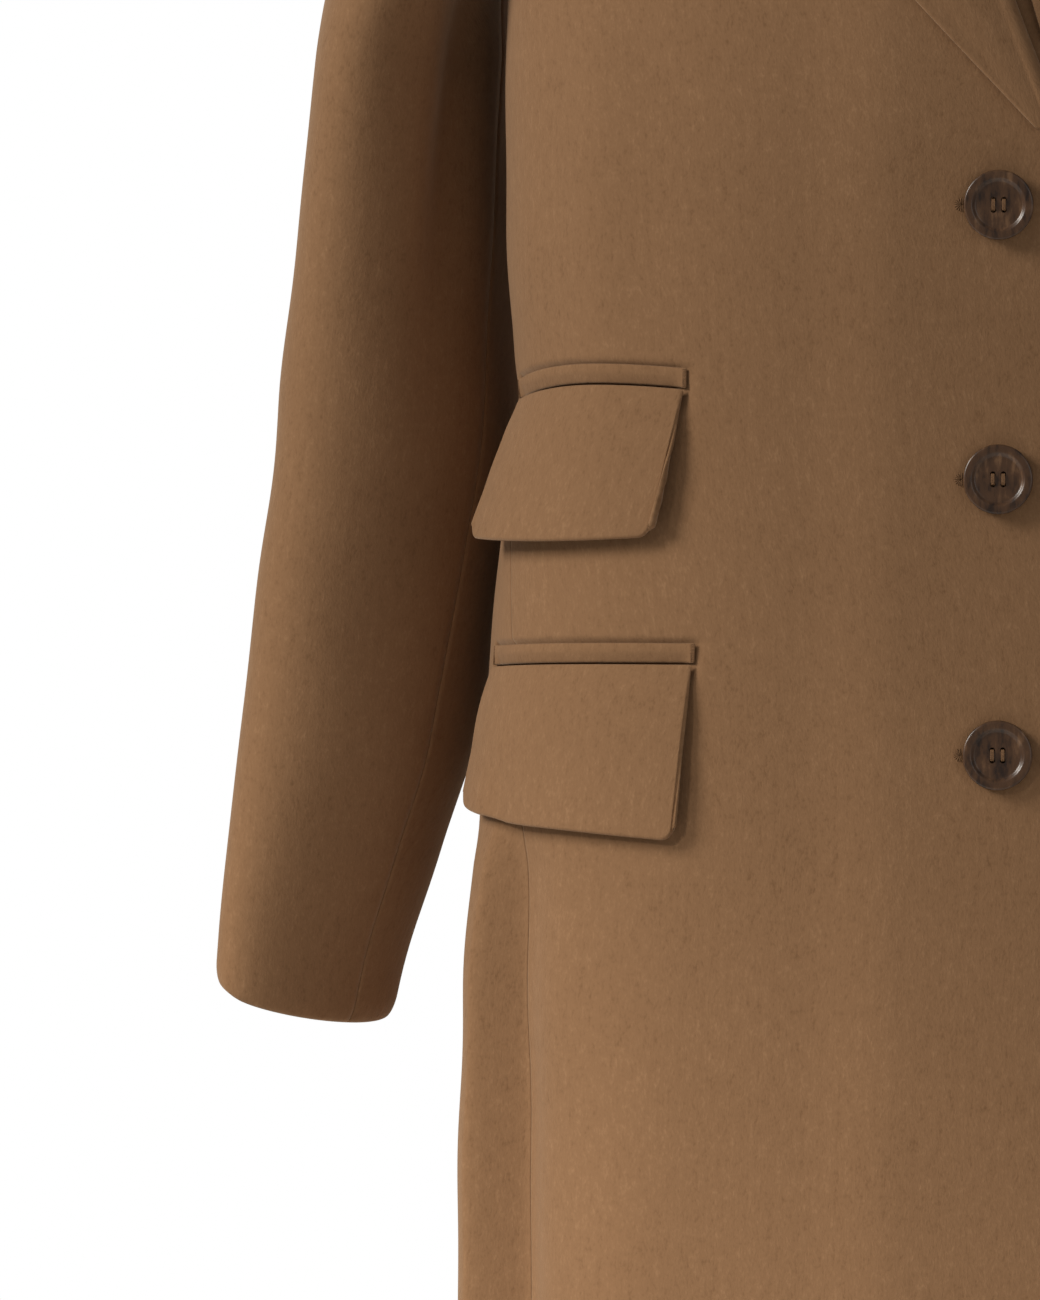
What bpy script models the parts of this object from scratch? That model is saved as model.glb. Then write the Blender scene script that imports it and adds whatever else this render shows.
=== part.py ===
"""Single-breasted coat, filled out as when it is worn: every cut piece is a thin cloth wall on one body form.

Metres, +Z up. The front faces -Y and the wearer's right side is -X.
The origin lies where the coat hangs from the wearer: midway between the two neck points of the shoulders.
"""
from collections import namedtuple
from math import atan2, copysign, cos, degrees, exp, pi, radians, sin, sqrt, tan

import bmesh
import bpy
import numpy as np
from mathutils import Matrix, Vector

OBJECT_NAME = "single_breasted_coat"
RIGHT, LEFT = -1, 1
UP = Vector((0.0, 0.0, 1.0))

# Cloth: thick fulled wool, with a narrow gap wherever two pieces are sewn together or lie on each other
CLOTH = 0.0026
FLAP_CLOTH = 0.0042
SEAM_GAP = 0.0003
LAID_GAP = 0.0008
LAP_GAP = 0.0009

# Heights of the coat, measured from the neck points
HEM = -1.020
BREAK = -0.305
FRONT_SEAM_TOP = -0.222
BACK_SEAM_TOP = -0.215
UNDERARM_DIP = 0.016
SHOULDER_POINT = -0.042
NECKLINE = -0.002

# Front closing and neck
FRONT_LAP = 0.022
LAP_FROM = 0.040
LAP_TO = 0.080
LAP_TOP = -0.110
LAP_FADE = 0.070
NECK_OUT = 0.075
GORGE = -0.034

# Panel grids: rows between the marks above, columns across each panel
SKIRT_ROWS = 14
CHEST_ROWS = 2
ARM_ROWS = 8
SHOULDER_ROWS = 4
FRONT_COLUMNS = 11
SIDE_COLUMNS = 5
SIDE_SKIRT_PARTS = (0.0, 0.093, 0.22, 0.43, 0.70, 1.0)
BACK_COLUMNS = 18
ARM_ROW_EASE = 1.35

# Body form, from the hem up to the neck points. Depths run forward and back from the widest line.
Section = namedtuple("Section", "height half_width front_depth back_depth squareness middle")
BODY = (
    Section(-1.020, 0.2275, 0.150, 0.152, 2.50, -0.010),
    Section(-0.747, 0.2147, 0.141, 0.141, 2.70, -0.012),
    Section(-0.589, 0.2146, 0.135, 0.130, 2.75, -0.014),
    Section(-0.514, 0.2104, 0.131, 0.120, 2.75, -0.015),
    Section(-0.410, 0.2008, 0.126, 0.103, 2.65, -0.015),
    Section(-0.340, 0.2040, 0.127, 0.108, 2.50, -0.014),
    Section(-0.289, 0.2050, 0.129, 0.113, 2.35, -0.013),
    Section(-0.235, 0.2035, 0.129, 0.116, 2.20, -0.012),
    Section(-0.190, 0.2015, 0.123, 0.115, 2.10, -0.010),
    Section(-0.140, 0.1995, 0.111, 0.108, 2.05, -0.008),
    Section(-0.095, 0.1975, 0.094, 0.097, 2.00, -0.007),
    Section(-0.060, 0.1962, 0.075, 0.085, 1.95, -0.006),
    Section(-0.042, 0.1950, 0.064, 0.078, 1.95, -0.005),
    Section(-0.028, 0.1550, 0.053, 0.071, 1.95, -0.004),
    Section(-0.014, 0.1150, 0.042, 0.063, 1.95, -0.004),
    Section(0.000, 0.0750, 0.032, 0.055, 1.95, -0.004),
)

# Seams of the side panels, in degrees round the body from the centre front
SideSeams = namedtuple("SideSeams", "height front back")
SIDE_SEAMS = (
    SideSeams(-1.020, 63.9, 114.0),
    SideSeams(-0.747, 68.6, 110.0),
    SideSeams(-0.660, 68.9, 108.0),
    SideSeams(-0.600, 67.9, 107.0),
    SideSeams(-0.520, 71.4, 105.0),
    SideSeams(-0.410, 81.3, 104.0),
    SideSeams(-0.300, 84.6, 105.0),
    SideSeams(-0.200, 84.5, 107.0),
)

# Armhole: how far the front and back reach outward at each height
Armhole = namedtuple("Armhole", "height front back")
ARMHOLE = (
    Armhole(-0.222, 0.2026, 0.1975),
    Armhole(-0.190, 0.1790, 0.1850),
    Armhole(-0.150, 0.1665, 0.1755),
    Armhole(-0.110, 0.1645, 0.1735),
    Armhole(-0.075, 0.1725, 0.1790),
    Armhole(-0.042, 0.1950, 0.1950),
)

# Soft folds of the skirt: each ridge grows from its top down to the hem
Fold = namedtuple("Fold", "side angle spread swell top")
FOLDS = (
    Fold(RIGHT, 51.0, 8.0, 0.0090, -0.52),
    Fold(RIGHT, 146.0, 11.0, 0.0080, -0.60),
    Fold(LEFT, 48.0, 9.0, 0.0080, -0.54),
    Fold(LEFT, 152.0, 10.0, 0.0070, -0.63),
)

# Flute of the skirt along each front side seam: the seam lies in a valley and the cloth behind it swells to a
# crest, some degrees past the seam, with a steep front flank
Flute = namedtuple("Flute", "height valley crest")
FLUTES = (
    Flute(-1.020, 0.0085, 0.0150),
    Flute(-0.747, 0.0085, 0.0140),
    Flute(-0.660, 0.0075, 0.0120),
    Flute(-0.607, 0.0045, 0.0080),
    Flute(-0.585, 0.0015, 0.0025),
    Flute(-0.560, 0.0000, 0.0000),
)
FLUTE_SHARE = {RIGHT: 1.0, LEFT: 0.85}
VALLEY_SPREAD_FRONT, VALLEY_SPREAD_BACK = 5.0, 1.8
CREST_PAST_SEAM = 4.0
CREST_SPREAD_FRONT, CREST_SPREAD_BACK = 1.8, 9.0

# Sleeve, from below the armhole to the cuff: ellipses turned so that their front end points outward
SleeveSection = namedtuple("SleeveSection", "height out back half_across half_along turn lean")
SLEEVE = (
    SleeveSection(-0.270, 0.2432, 0.030, 0.0342, 0.0760, 20.0, 2.0),
    SleeveSection(-0.330, 0.2456, 0.026, 0.0349, 0.0710, 27.0, 4.0),
    SleeveSection(-0.420, 0.2501, 0.016, 0.0377, 0.0680, 34.0, 6.0),
    SleeveSection(-0.489, 0.2575, 0.002, 0.0361, 0.0660, 37.0, 9.0),
    SleeveSection(-0.553, 0.2662, -0.014, 0.0332, 0.0620, 38.0, 13.0),
    SleeveSection(-0.595, 0.2748, -0.025, 0.0282, 0.0580, 37.0, 16.0),
    SleeveSection(-0.633, 0.2822, -0.034, 0.0235, 0.0542, 36.0, 19.0),
    SleeveSection(-0.6635, 0.2868, -0.040, 0.0217, 0.0515, 35.0, 21.0),
)
SLEEVE_CAP_ROWS = 6
SLEEVE_TUBE_ROWS = 10
CAP_FULLNESS = 0.95
CAP_FORWARD = 0.30
CAP_SLOPE = 0.36
CAP_UNDER = 0.25
CAP_LOOK_DOWN = 0.004
ARMHOLE_LOOK_UP = 0.004
ARMHOLE_GAP = 0.0005
CUFF_PITCH = 7.0
FOREARM_SEAM_STEP = -3
HIND_SEAM_STEP = 5

# Lapel, as seen from the front: the notch, the tip and the belly of its outer edge
LAPEL_ROWS = 11
LAPEL_ROW_EASE = 1.6
LAPEL_COLUMNS = 8
LAPEL_FOOT = 0.007
LAPEL_BELLY = 0.010
ROLL_LIFT = 0.0050
ROLL_TURN = 0.0016
LEFT_ROLL_FOOT = -0.2310
LEFT_EDGE_FOOT = 0.17
NOTCH_OUT, NOTCH_HEIGHT = 0.112, -0.082
TIP_OUT, TIP_HEIGHT = 0.148, -0.101
NOTCH_COLUMN = 0.50
NOTCH_GAP = 0.0012
NOTCH_FROM = 0.55
WRAP_OUTER, WRAP_INNER = 0.0018, 0.0005
ROLL_EDGE_LIFT = 0.0006
ROLL_SWELL_REACH = 0.80

# Collar, from the centre back round to the gorge: neck edge, outer edge and how high it stands
CollarRow = namedtuple("CollarRow", "neck_angle neck_height edge_angle edge_height stand")
COLLAR = (
    CollarRow(180.0, -0.0050, 180.0, -0.0440, 0.029),
    CollarRow(150.0, -0.0050, 150.0, -0.0450, 0.029),
    CollarRow(120.0, -0.0050, 124.0, -0.0420, 0.027),
    CollarRow(90.0, -0.0035, 90.0, -0.0200, 0.023),
    CollarRow(66.0, -0.0170, 71.0, -0.0370, 0.014),
    CollarRow(56.5, -0.0330, 66.5, -0.0490, 0.006),
)
COLLAR_POINT_OUT, COLLAR_POINT_HEIGHT = 0.139, -0.060
COLLAR_HALF_ROWS = 12
COLLAR_GORGE_ROWS = 5
COLLAR_STAND_COLUMNS = 2
COLLAR_FALL_COLUMNS = 7
COLLAR_ROLL = 0.010
COLLAR_ROLL_OVER = 2.0
COLLAR_MEET_SHARE = 1.0 / 3.0
COLLAR_GAP = 0.0020
COLLAR_LEAN = 0.12
COLLAR_SWELL = 0.010
COLLAR_FOOT_LIFT = 0.0010
COLLAR_TURN_SHARE = 0.15
COLLAR_COLUMN_EASE = 1.1
COLLAR_NEAR = 0.62
COLLAR_STAND_FADE = 0.5
COLLAR_TURN_FADE = 0.625
COLLAR_SWELL_FADE = 0.77
COLLAR_LYING = (0.15, 0.35)

# Pocket flaps: ends are distances from the centre front, sweep moves the lower edge back round the body
Flap = namedtuple(
    "Flap", "name side seam seam_rise arch rear front depth_rear depth_front belly sweep_rear sweep_front"
    " flare_rear flare_front")
FLAPS = (
    Flap("hip_right", RIGHT, -0.5235, 0.004, 0.001, 0.2070, 0.1228,
         0.057, 0.071, 0.000, 0.000, 0.002, 0.004, 0.002),
    Flap("ticket_right", RIGHT, -0.4140, 0.005, 0.004, 0.1975, 0.1260,
         0.058, 0.060, 0.005, -0.001, 0.006, 0.010, 0.003),
    Flap("hip_left", LEFT, -0.5235, 0.004, 0.001, 0.2070, 0.1228,
         0.059, 0.071, 0.000, 0.000, 0.002, 0.004, 0.002),
)
FLAP_CORNER = 0.0045
FLAP_COLUMNS = 10
FLAP_ROWS = 5
FLAP_COLUMN_EASE = 0.75
FLAP_DEPTH_EASE = 0.6
FLAP_FLARE_EASE = 1.15
FLAP_SEAM_CLOTH = 0.0018
FLAP_FULL_AT = 0.50
WELT_HEIGHT = 0.0080
WELT_GAP = 0.0005
WELT_CLOTH = 0.0018
WELT_LIFT = 0.0005
WELT_PAST_FLAP = 0.0006
WELT_BULGE = 0.0004
WELT_ROWS = 2
WELT_COLUMNS = 8

# Buttons: four holes, a raised rim and a dished face
BUTTON_HEIGHTS = (-0.335, -0.445, -0.555)
BUTTON_RADIUS = 0.014
BUTTON_THICKNESS = 0.0042
BUTTON_SEAT = 0.0007
BUTTON_RIM = 0.0030
BUTTON_DISH = 0.0012
BUTTON_EDGE = 0.0010
BUTTON_STEPS = 20
HOLE_RADIUS = 0.0011
HOLE_SPACING = 0.0021
HOLE_STEPS = 8

WOOL_COLOUR = (0.255, 0.138, 0.068, 1.0)
WOOL_ROUGHNESS = 0.92
BUTTON_COLOUR = (0.085, 0.040, 0.018, 1.0)
BUTTON_ROUGHNESS = 0.35


def clear_scene():
    for item in list(bpy.data.objects):
        bpy.data.objects.remove(item)


def finish(name, colour, roughness):
    material = bpy.data.materials.new(name)
    material.use_nodes = True
    shader = material.node_tree.nodes["Principled BSDF"]
    shader.inputs["Base Color"].default_value = colour
    shader.inputs["Roughness"].default_value = roughness
    return material


def through(places, values):
    """A smooth curve through the values that never swings past them between two places."""
    place = np.array(places, dtype=float)
    value = np.array(values, dtype=float)
    step = np.diff(place)
    slope = np.diff(value) / step
    tangent = np.zeros(len(place))
    tangent[0] = slope[0]
    tangent[-1] = slope[-1]
    for index in range(1, len(place) - 1):
        before = slope[index - 1]
        after = slope[index]
        if before * after > 0.0:
            tangent[index] = 2.0 * before * after / (before + after)

    def at(wanted):
        index = int(np.clip(np.searchsorted(place, wanted) - 1, 0, len(step) - 1))
        part = min(max((wanted - place[index]) / step[index], 0.0), 1.0)
        rest = 1.0 - part
        ends = value[index] * (1.0 + 2.0 * part) * rest**2 + value[index + 1] * (3.0 - 2.0 * part) * part**2
        pulls = tangent[index] * part * rest**2 - tangent[index + 1] * part**2 * rest
        return float(ends + step[index] * pulls)

    return at


def columns_of(rows, key):
    """One smooth curve for every column of a table, along the column named as its key."""
    places = [getattr(row, key) for row in rows]
    return {name: through(places, [getattr(row, name) for row in rows]) for name in rows[0]._fields}


body_at = columns_of(BODY, "height")
seam_at = columns_of(SIDE_SEAMS, "height")
armhole_at = columns_of(ARMHOLE, "height")
sleeve_at = columns_of(SLEEVE[::-1], "height")
flute_at = columns_of(FLUTES, "height")


def ease(part):
    part = min(max(part, 0.0), 1.0)
    return part * part * (3.0 - 2.0 * part)


def mix(first, second, part):
    return first + (second - first) * part


def ring_radius(angle, height):
    depth_name = "front_depth" if cos(angle) > 0.0 else "back_depth"
    power = body_at["squareness"](height)
    across = abs(sin(angle)) / body_at["half_width"](height)
    along = abs(cos(angle)) / body_at[depth_name](height)
    return (across**power + along**power) ** (-1.0 / power)


def degrees_past(side, angle, mark_side, mark):
    """How far an angle lies past a mark of one side, in degrees toward the back."""
    off = (angle * side * mark_side - radians(mark) + pi) % (2.0 * pi) - pi
    return degrees(off)


def fold_swell(side, angle, height):
    """Outward swell of the skirt's folds and flutes; angles past the centre line read the other side."""
    swell = 0.0
    for fold in FOLDS:
        past = degrees_past(side, angle, fold.side, fold.angle)
        reach = ease((fold.top - height) / (fold.top - HEM))
        swell += fold.swell * reach * exp(-((past / fold.spread) ** 2))
    for flute_side, share in FLUTE_SHARE.items():
        past = degrees_past(side, angle, flute_side, seam_at["front"](height))
        past_crest = past - CREST_PAST_SEAM
        dip = VALLEY_SPREAD_FRONT if past < 0.0 else VALLEY_SPREAD_BACK
        spread = CREST_SPREAD_FRONT if past_crest < 0.0 else CREST_SPREAD_BACK
        swell += share * flute_at["crest"](height) * exp(-((past_crest / spread) ** 2))
        swell -= share * flute_at["valley"](height) * exp(-((past / dip) ** 2))
    return swell


def bare_point(side, angle, height):
    radius = ring_radius(angle, height) + fold_swell(side, angle, height)
    return Vector((side * radius * sin(angle), body_at["middle"](height) - radius * cos(angle), height))


def body_normal(side, angle, height):
    small_turn = 0.002
    small_rise = 0.0008
    along = bare_point(side, angle + small_turn, height) - bare_point(side, angle - small_turn, height)
    rise = bare_point(side, angle, height + small_rise) - bare_point(side, angle, height - small_rise)
    return (along.cross(rise) * side).normalized()


def angle_at(out, height, depth_name="front_depth"):
    """Angle from the centre front, or centre back, where the body is this far out from the centre plane."""
    power = body_at["squareness"](height)
    share = min(abs(out) / body_at["half_width"](height), 1.0)
    depth = body_at[depth_name](height) * (1.0 - share**power) ** (1.0 / power)
    return copysign(atan2(abs(out), depth), out)


def lap_lift(side, out, height):
    """The right front lies over the left one, so it stands off by one layer near the centre front."""
    if side == LEFT:
        return 0.0
    across = ease((LAP_TO - out) / (LAP_TO - LAP_FROM))
    return (CLOTH + LAP_GAP) * across * ease((LAP_TOP - height) / LAP_FADE)


def body_point(side, angle, height, lift=0.0):
    point = bare_point(side, angle, height)
    if lift:
        point += body_normal(side, angle, height) * lift
    return point


def body_wall(side, angle, height, lift, thickness):
    """The outer and the hidden point of cloth that lies on the body form."""
    return body_point(side, angle, height, lift), body_point(side, angle, height, lift - thickness)


def front_point(side, out, height, lift=0.0):
    angle = angle_at(out, height)
    return body_point(side, angle, height, lift + lap_lift(side, out, height))


def front_edge(height):
    """The free edge of a front: the closing edge, the roll line above the break, then the neckline."""
    if height <= BREAK:
        return -FRONT_LAP
    return mix(-FRONT_LAP, NECK_OUT, min((height - BREAK) / (GORGE - BREAK), 1.0))


def row_height(row, seam_top):
    """Height of one row of a panel whose side seam ends at the given height."""
    chest = SKIRT_ROWS + CHEST_ROWS
    if row <= SKIRT_ROWS:
        low = mix(HEM, BREAK, row / SKIRT_ROWS)
        return HEM + (low - HEM) * (seam_top - HEM) / (FRONT_SEAM_TOP - HEM)
    if row <= chest:
        low = mix(BREAK, FRONT_SEAM_TOP, (row - SKIRT_ROWS) / CHEST_ROWS)
        return HEM + (low - HEM) * (seam_top - HEM) / (FRONT_SEAM_TOP - HEM)
    if row <= chest + ARM_ROWS:
        part = (row - chest) / ARM_ROWS
        return mix(seam_top, SHOULDER_POINT, 1.0 - (1.0 - part) ** ARM_ROW_EASE)
    if row <= chest + ARM_ROWS + 1:
        return mix(SHOULDER_POINT, GORGE, row - chest - ARM_ROWS)
    return mix(GORGE, NECKLINE, (row - chest - ARM_ROWS - 1) / (SHOULDER_ROWS - 1))


def seam_inset(height):
    return SEAM_GAP / 2.0 / body_at["half_width"](height)


def front_outer_angle(row):
    height = row_height(row, FRONT_SEAM_TOP)
    if row <= SKIRT_ROWS + CHEST_ROWS:
        return radians(seam_at["front"](height)) - seam_inset(height)
    if row < SKIRT_ROWS + CHEST_ROWS + ARM_ROWS:
        return angle_at(armhole_at["front"](height), height)
    return pi / 2.0 - seam_inset(height)


def back_outer_angle(row):
    height = row_height(row, BACK_SEAM_TOP)
    if row <= SKIRT_ROWS + CHEST_ROWS:
        return radians(seam_at["back"](height)) + seam_inset(height)
    if row < SKIRT_ROWS + CHEST_ROWS + ARM_ROWS:
        return pi - angle_at(armhole_at["back"](height), height, "back_depth")
    return pi / 2.0 + seam_inset(height)


PANEL_ROWS = SKIRT_ROWS + CHEST_ROWS + ARM_ROWS + SHOULDER_ROWS


def place_front(side):
    def place(column, row):
        height = row_height(row, FRONT_SEAM_TOP)
        outer = front_outer_angle(row)
        inner = angle_at(front_edge(height), height)
        part = column / FRONT_COLUMNS if side == LEFT else 1.0 - column / FRONT_COLUMNS
        angle = mix(inner, outer, part)
        out = ring_radius(angle, height) * sin(angle)
        return body_wall(side, angle, height, lap_lift(side, out, height), CLOTH)

    return place


def side_top(part):
    return mix(FRONT_SEAM_TOP, BACK_SEAM_TOP, part) - UNDERARM_DIP * 4.0 * part * (1.0 - part)


def side_place(part, row):
    """A point of the side panel: part runs from its front seam to its back seam."""
    height = row_height(row, side_top(part))
    front = radians(seam_at["front"](row_height(row, FRONT_SEAM_TOP))) + seam_inset(height)
    back = radians(seam_at["back"](row_height(row, BACK_SEAM_TOP))) - seam_inset(height)
    return mix(front, back, part), height


def place_side(side):
    def place(column, row):
        step = column if side == LEFT else SIDE_COLUMNS - column
        part = mix(SIDE_SKIRT_PARTS[step], step / SIDE_COLUMNS, ease(row / SKIRT_ROWS))
        angle, height = side_place(part, row)
        return body_wall(side, angle, height, 0.0, CLOTH)

    return place


def place_back(column, row):
    height = row_height(row, BACK_SEAM_TOP)
    outer = back_outer_angle(row)
    angle = mix(outer, 2.0 * pi - outer, column / BACK_COLUMNS)
    return body_wall(LEFT, angle, height, 0.0, CLOTH)


def armhole_loop(side):
    """Where the sleeve starts: just off the armhole edge, from the underarm forward and round."""
    chest = SKIRT_ROWS + CHEST_ROWS
    half = SIDE_COLUMNS // 2
    marks = []
    for column in range(half, -1, -1):
        marks.append(side_place(column / SIDE_COLUMNS, chest))
    for row in range(chest + 1, chest + ARM_ROWS + 1):
        marks.append((front_outer_angle(row), row_height(row, FRONT_SEAM_TOP)))
    for row in range(chest + ARM_ROWS - 1, chest, -1):
        marks.append((back_outer_angle(row), row_height(row, BACK_SEAM_TOP)))
    for column in range(SIDE_COLUMNS, half, -1):
        marks.append(side_place(column / SIDE_COLUMNS, chest))
    points = [body_point(side, angle, height) for angle, height in marks]
    normals = [body_normal(side, angle, height + ARMHOLE_LOOK_UP) for angle, height in marks]
    loop = []
    for index, point in enumerate(points):
        run = (points[(index + 1) % len(points)] - points[index - 1]).normalized()
        off = normals[index].cross(run) * -side
        loop.append(point + off.normalized() * ARMHOLE_GAP)
    return loop


def sleeve_ring(side, angle, height):
    """A point of the sleeve tube; the angle runs from the inner side to the front, outside and back."""
    turn = radians(sleeve_at["turn"](height))
    along = sleeve_at["half_along"](height) * sin(angle)
    across = sleeve_at["half_across"](height) * cos(angle)
    out = along * sin(turn) - across * cos(turn)
    forward = along * cos(turn) + across * sin(turn)
    drop = out * tan(radians(sleeve_at["lean"](height))) - forward * tan(radians(CUFF_PITCH))
    middle = sleeve_at["out"](height)
    return Vector((side * (middle + out), sleeve_at["back"](height) - forward, height + drop))


def sleeve_angles(loop):
    """Where each armhole point lands on the tube, by its share of the way round the armhole."""
    lengths = [0.0]
    for index in range(len(loop)):
        lengths.append(lengths[-1] + (loop[(index + 1) % len(loop)] - loop[index]).length)
    shift = lengths[1] * 0.5 if SIDE_COLUMNS % 2 else 0.0
    return [2.0 * pi * (length + shift) / lengths[-1] for length in lengths[:-1]]


def place_sleeve(side, first, last):
    loop = armhole_loop(side)
    angles = sleeve_angles(loop)
    top_height = SLEEVE[0].height
    cuff_height = SLEEVE[-1].height

    def meridian(index, row):
        start = loop[index % len(loop)]
        angle = angles[index % len(loop)]
        if row >= SLEEVE_CAP_ROWS:
            part = (row - SLEEVE_CAP_ROWS) / SLEEVE_TUBE_ROWS
            return sleeve_ring(side, angle, mix(top_height, cuff_height, part))
        end = sleeve_ring(side, angle, top_height)
        lower = sleeve_ring(side, angle, top_height - CAP_LOOK_DOWN)
        reach = (end - start).length * CAP_FULLNESS
        under = (SHOULDER_POINT - start.z) / (SHOULDER_POINT - BACK_SEAM_TOP)
        rise = mix(-CAP_SLOPE, CAP_UNDER, under)
        flow = Vector((side, -CAP_FORWARD * sin(angle), rise)).normalized() * reach
        fall = (lower - end).normalized() * reach
        part = row / SLEEVE_CAP_ROWS
        rest = 1.0 - part
        ends = start * (1.0 + 2.0 * part) * rest**2 + end * (3.0 - 2.0 * part) * part**2
        return ends + flow * part * rest**2 - fall * part**2 * rest

    def wall_way(index, row):
        """The way out of the sleeve's wall at one point."""
        last_row = SLEEVE_CAP_ROWS + SLEEVE_TUBE_ROWS
        around = meridian(index + 1, row) - meridian(index - 1, row)
        down = meridian(index, min(row + 1, last_row)) - meridian(index, max(row - 1, 0))
        return (around.cross(down) * -side).normalized()

    def place(column, row):
        index = first + column
        point = meridian(index, row)
        shift = Vector()
        if index == first:
            shift = (meridian(index + 1, row) - point).normalized() * SEAM_GAP
        if index == last:
            shift = (meridian(index - 1, row) - point).normalized() * SEAM_GAP
        return point + shift, point + shift - wall_way(index, row) * CLOTH

    return place


def gorge_line(part, off):
    """The seam between lapel and collar, from the roll line to the notch, moved off toward the collar."""
    run = Vector((NOTCH_OUT - NECK_OUT, NOTCH_HEIGHT - GORGE)).normalized()
    out = mix(NECK_OUT, NOTCH_OUT, part) - run.y * off
    height = mix(GORGE, NOTCH_HEIGHT, part) + run.x * off
    return out, height


def place_lapel(side, roll_foot, edge_foot):
    """The turned-back part of a front; it wraps round the roll line and lies on the front."""
    laid = CLOTH + LAID_GAP

    def outline(part, across):
        height = mix(roll_foot, GORGE, part)
        roll = front_edge(height) + ROLL_TURN
        edge_part = mix(edge_foot, 1.0, part)
        tip = mix(-FRONT_LAP + LAPEL_FOOT, TIP_OUT, edge_part) + LAPEL_BELLY * sin(pi * edge_part)
        out = mix(roll, tip, across)
        level = mix(height, mix(BREAK, TIP_HEIGHT, edge_part), across)
        if across < NOTCH_COLUMN:
            top_out, top_level = gorge_line(across / NOTCH_COLUMN, -NOTCH_GAP / 2.0)
        else:
            past = (across - NOTCH_COLUMN) / (1.0 - NOTCH_COLUMN)
            notch_out, notch_level = gorge_line(1.0, -NOTCH_GAP / 2.0)
            top_out = mix(notch_out, TIP_OUT, past)
            top_level = mix(notch_level, TIP_HEIGHT, past)
        near_top = ease((part - NOTCH_FROM) / (1.0 - NOTCH_FROM))
        out += (top_out - mix(NECK_OUT, TIP_OUT, across)) * near_top
        level += (top_level - mix(GORGE, TIP_HEIGHT, across)) * near_top
        return out, level

    def place(column, row):
        part = 1.0 - (1.0 - row / LAPEL_ROWS) ** LAPEL_ROW_EASE
        step = column if side == LEFT else LAPEL_COLUMNS - column
        across = max(step - 2, 0) / (LAPEL_COLUMNS - 2)
        out, level = outline(part, across)
        edge = out - ROLL_TURN
        if step == 0:
            outer = front_point(side, edge - laid, level, -CLOTH)
            return outer, front_point(side, edge - LAID_GAP, level, -CLOTH)
        if step == 1:
            outer = front_point(side, edge - laid, level, WRAP_OUTER)
            return outer, front_point(side, edge - LAID_GAP, level, WRAP_INNER)
        swell = ROLL_LIFT * sin(pi * min(across / ROLL_SWELL_REACH, 1.0)) * part
        lift = laid + swell + (ROLL_EDGE_LIFT if step == 2 else 0.0)
        return front_point(side, out, level, lift), front_point(side, out, level, lift - CLOTH)

    return place


def collar_marks(part):
    """Neck edge, outer edge and stand of the collar; part runs from the centre back to the notch."""
    neck_part = COLLAR_HALF_ROWS / (COLLAR_HALF_ROWS + COLLAR_GORGE_ROWS)
    last = len(COLLAR) - 1
    place = min(part / neck_part, 1.0) * last
    row = CollarRow(*[collar_at[name](place) for name in CollarRow._fields])
    neck = radians(row.neck_angle), row.neck_height
    edge = radians(row.edge_angle), row.edge_height
    stand = row.stand
    if part > neck_part:
        along = (part - neck_part) / (1.0 - neck_part)
        start = sin(neck[0]) * ring_radius(*neck), neck[1]
        seam = gorge_line(along, NOTCH_GAP)
        meet = ease(along / COLLAR_MEET_SHARE)
        out = mix(start[0] + (seam[0] - gorge_line(0.0, NOTCH_GAP)[0]), seam[0], meet)
        height = mix(start[1] + (seam[1] - gorge_line(0.0, NOTCH_GAP)[1]), seam[1], meet)
        neck = angle_at(out, height), height
        edge_start = sin(edge[0]) * ring_radius(*edge), edge[1]
        edge_out = mix(edge_start[0], COLLAR_POINT_OUT, along)
        edge_height = mix(edge_start[1], COLLAR_POINT_HEIGHT, along)
        edge = angle_at(edge_out, edge_height), edge_height
        stand = stand * (1.0 - ease(along))
    return neck, edge, stand


collar_at = {
    name: through(range(len(COLLAR)), [getattr(row, name) for row in COLLAR])
    for name in CollarRow._fields
}


def collar_point(column, row):
    half = COLLAR_HALF_ROWS + COLLAR_GORGE_ROWS
    side = RIGHT if column < half else LEFT
    neck, edge, stand = collar_marks(abs(column - half) / half)
    flat = stand / COLLAR[0].stand
    laid = CLOTH + COLLAR_GAP
    foot = body_point(side, *neck, mix(laid, COLLAR_FOOT_LIFT, ease(flat / COLLAR_STAND_FADE)))
    end = body_point(side, *edge, laid)
    away = Vector((end.x - foot.x, end.y - foot.y, 0.0)).normalized()
    standing = foot + (UP + away * COLLAR_LEAN).normalized() * stand
    early = tuple(mix(neck[index], edge[index], COLLAR_TURN_SHARE) for index in (0, 1))
    lying = body_point(side, *early, laid)
    crest = lying.lerp(standing, ease(flat / COLLAR_STAND_FADE))
    if row <= COLLAR_STAND_COLUMNS:
        return foot.lerp(crest, row / COLLAR_STAND_COLUMNS)
    part = ((row - COLLAR_STAND_COLUMNS) / COLLAR_FALL_COLUMNS) ** COLLAR_COLUMN_EASE
    rest = 1.0 - part
    turned = ease(flat / COLLAR_TURN_FADE)
    above = crest.lerp(end, COLLAR_LYING[0]).lerp(crest + UP * COLLAR_ROLL, turned)
    over = crest + (UP + away * COLLAR_ROLL_OVER) * COLLAR_ROLL
    beyond = crest.lerp(end, COLLAR_LYING[1]).lerp(over, turned)
    middle = tuple(mix(neck[index], edge[index], COLLAR_NEAR) for index in (0, 1))
    near = body_point(side, *middle, laid + COLLAR_SWELL * ease(flat / COLLAR_SWELL_FADE))
    shares = (rest**4, 4.0 * rest**3 * part, 6.0 * rest**2 * part**2, 4.0 * rest * part**3, part**4)
    marks = (crest, above, beyond, near, end)
    return sum((mark * share for mark, share in zip(marks, shares)), Vector())


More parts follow.
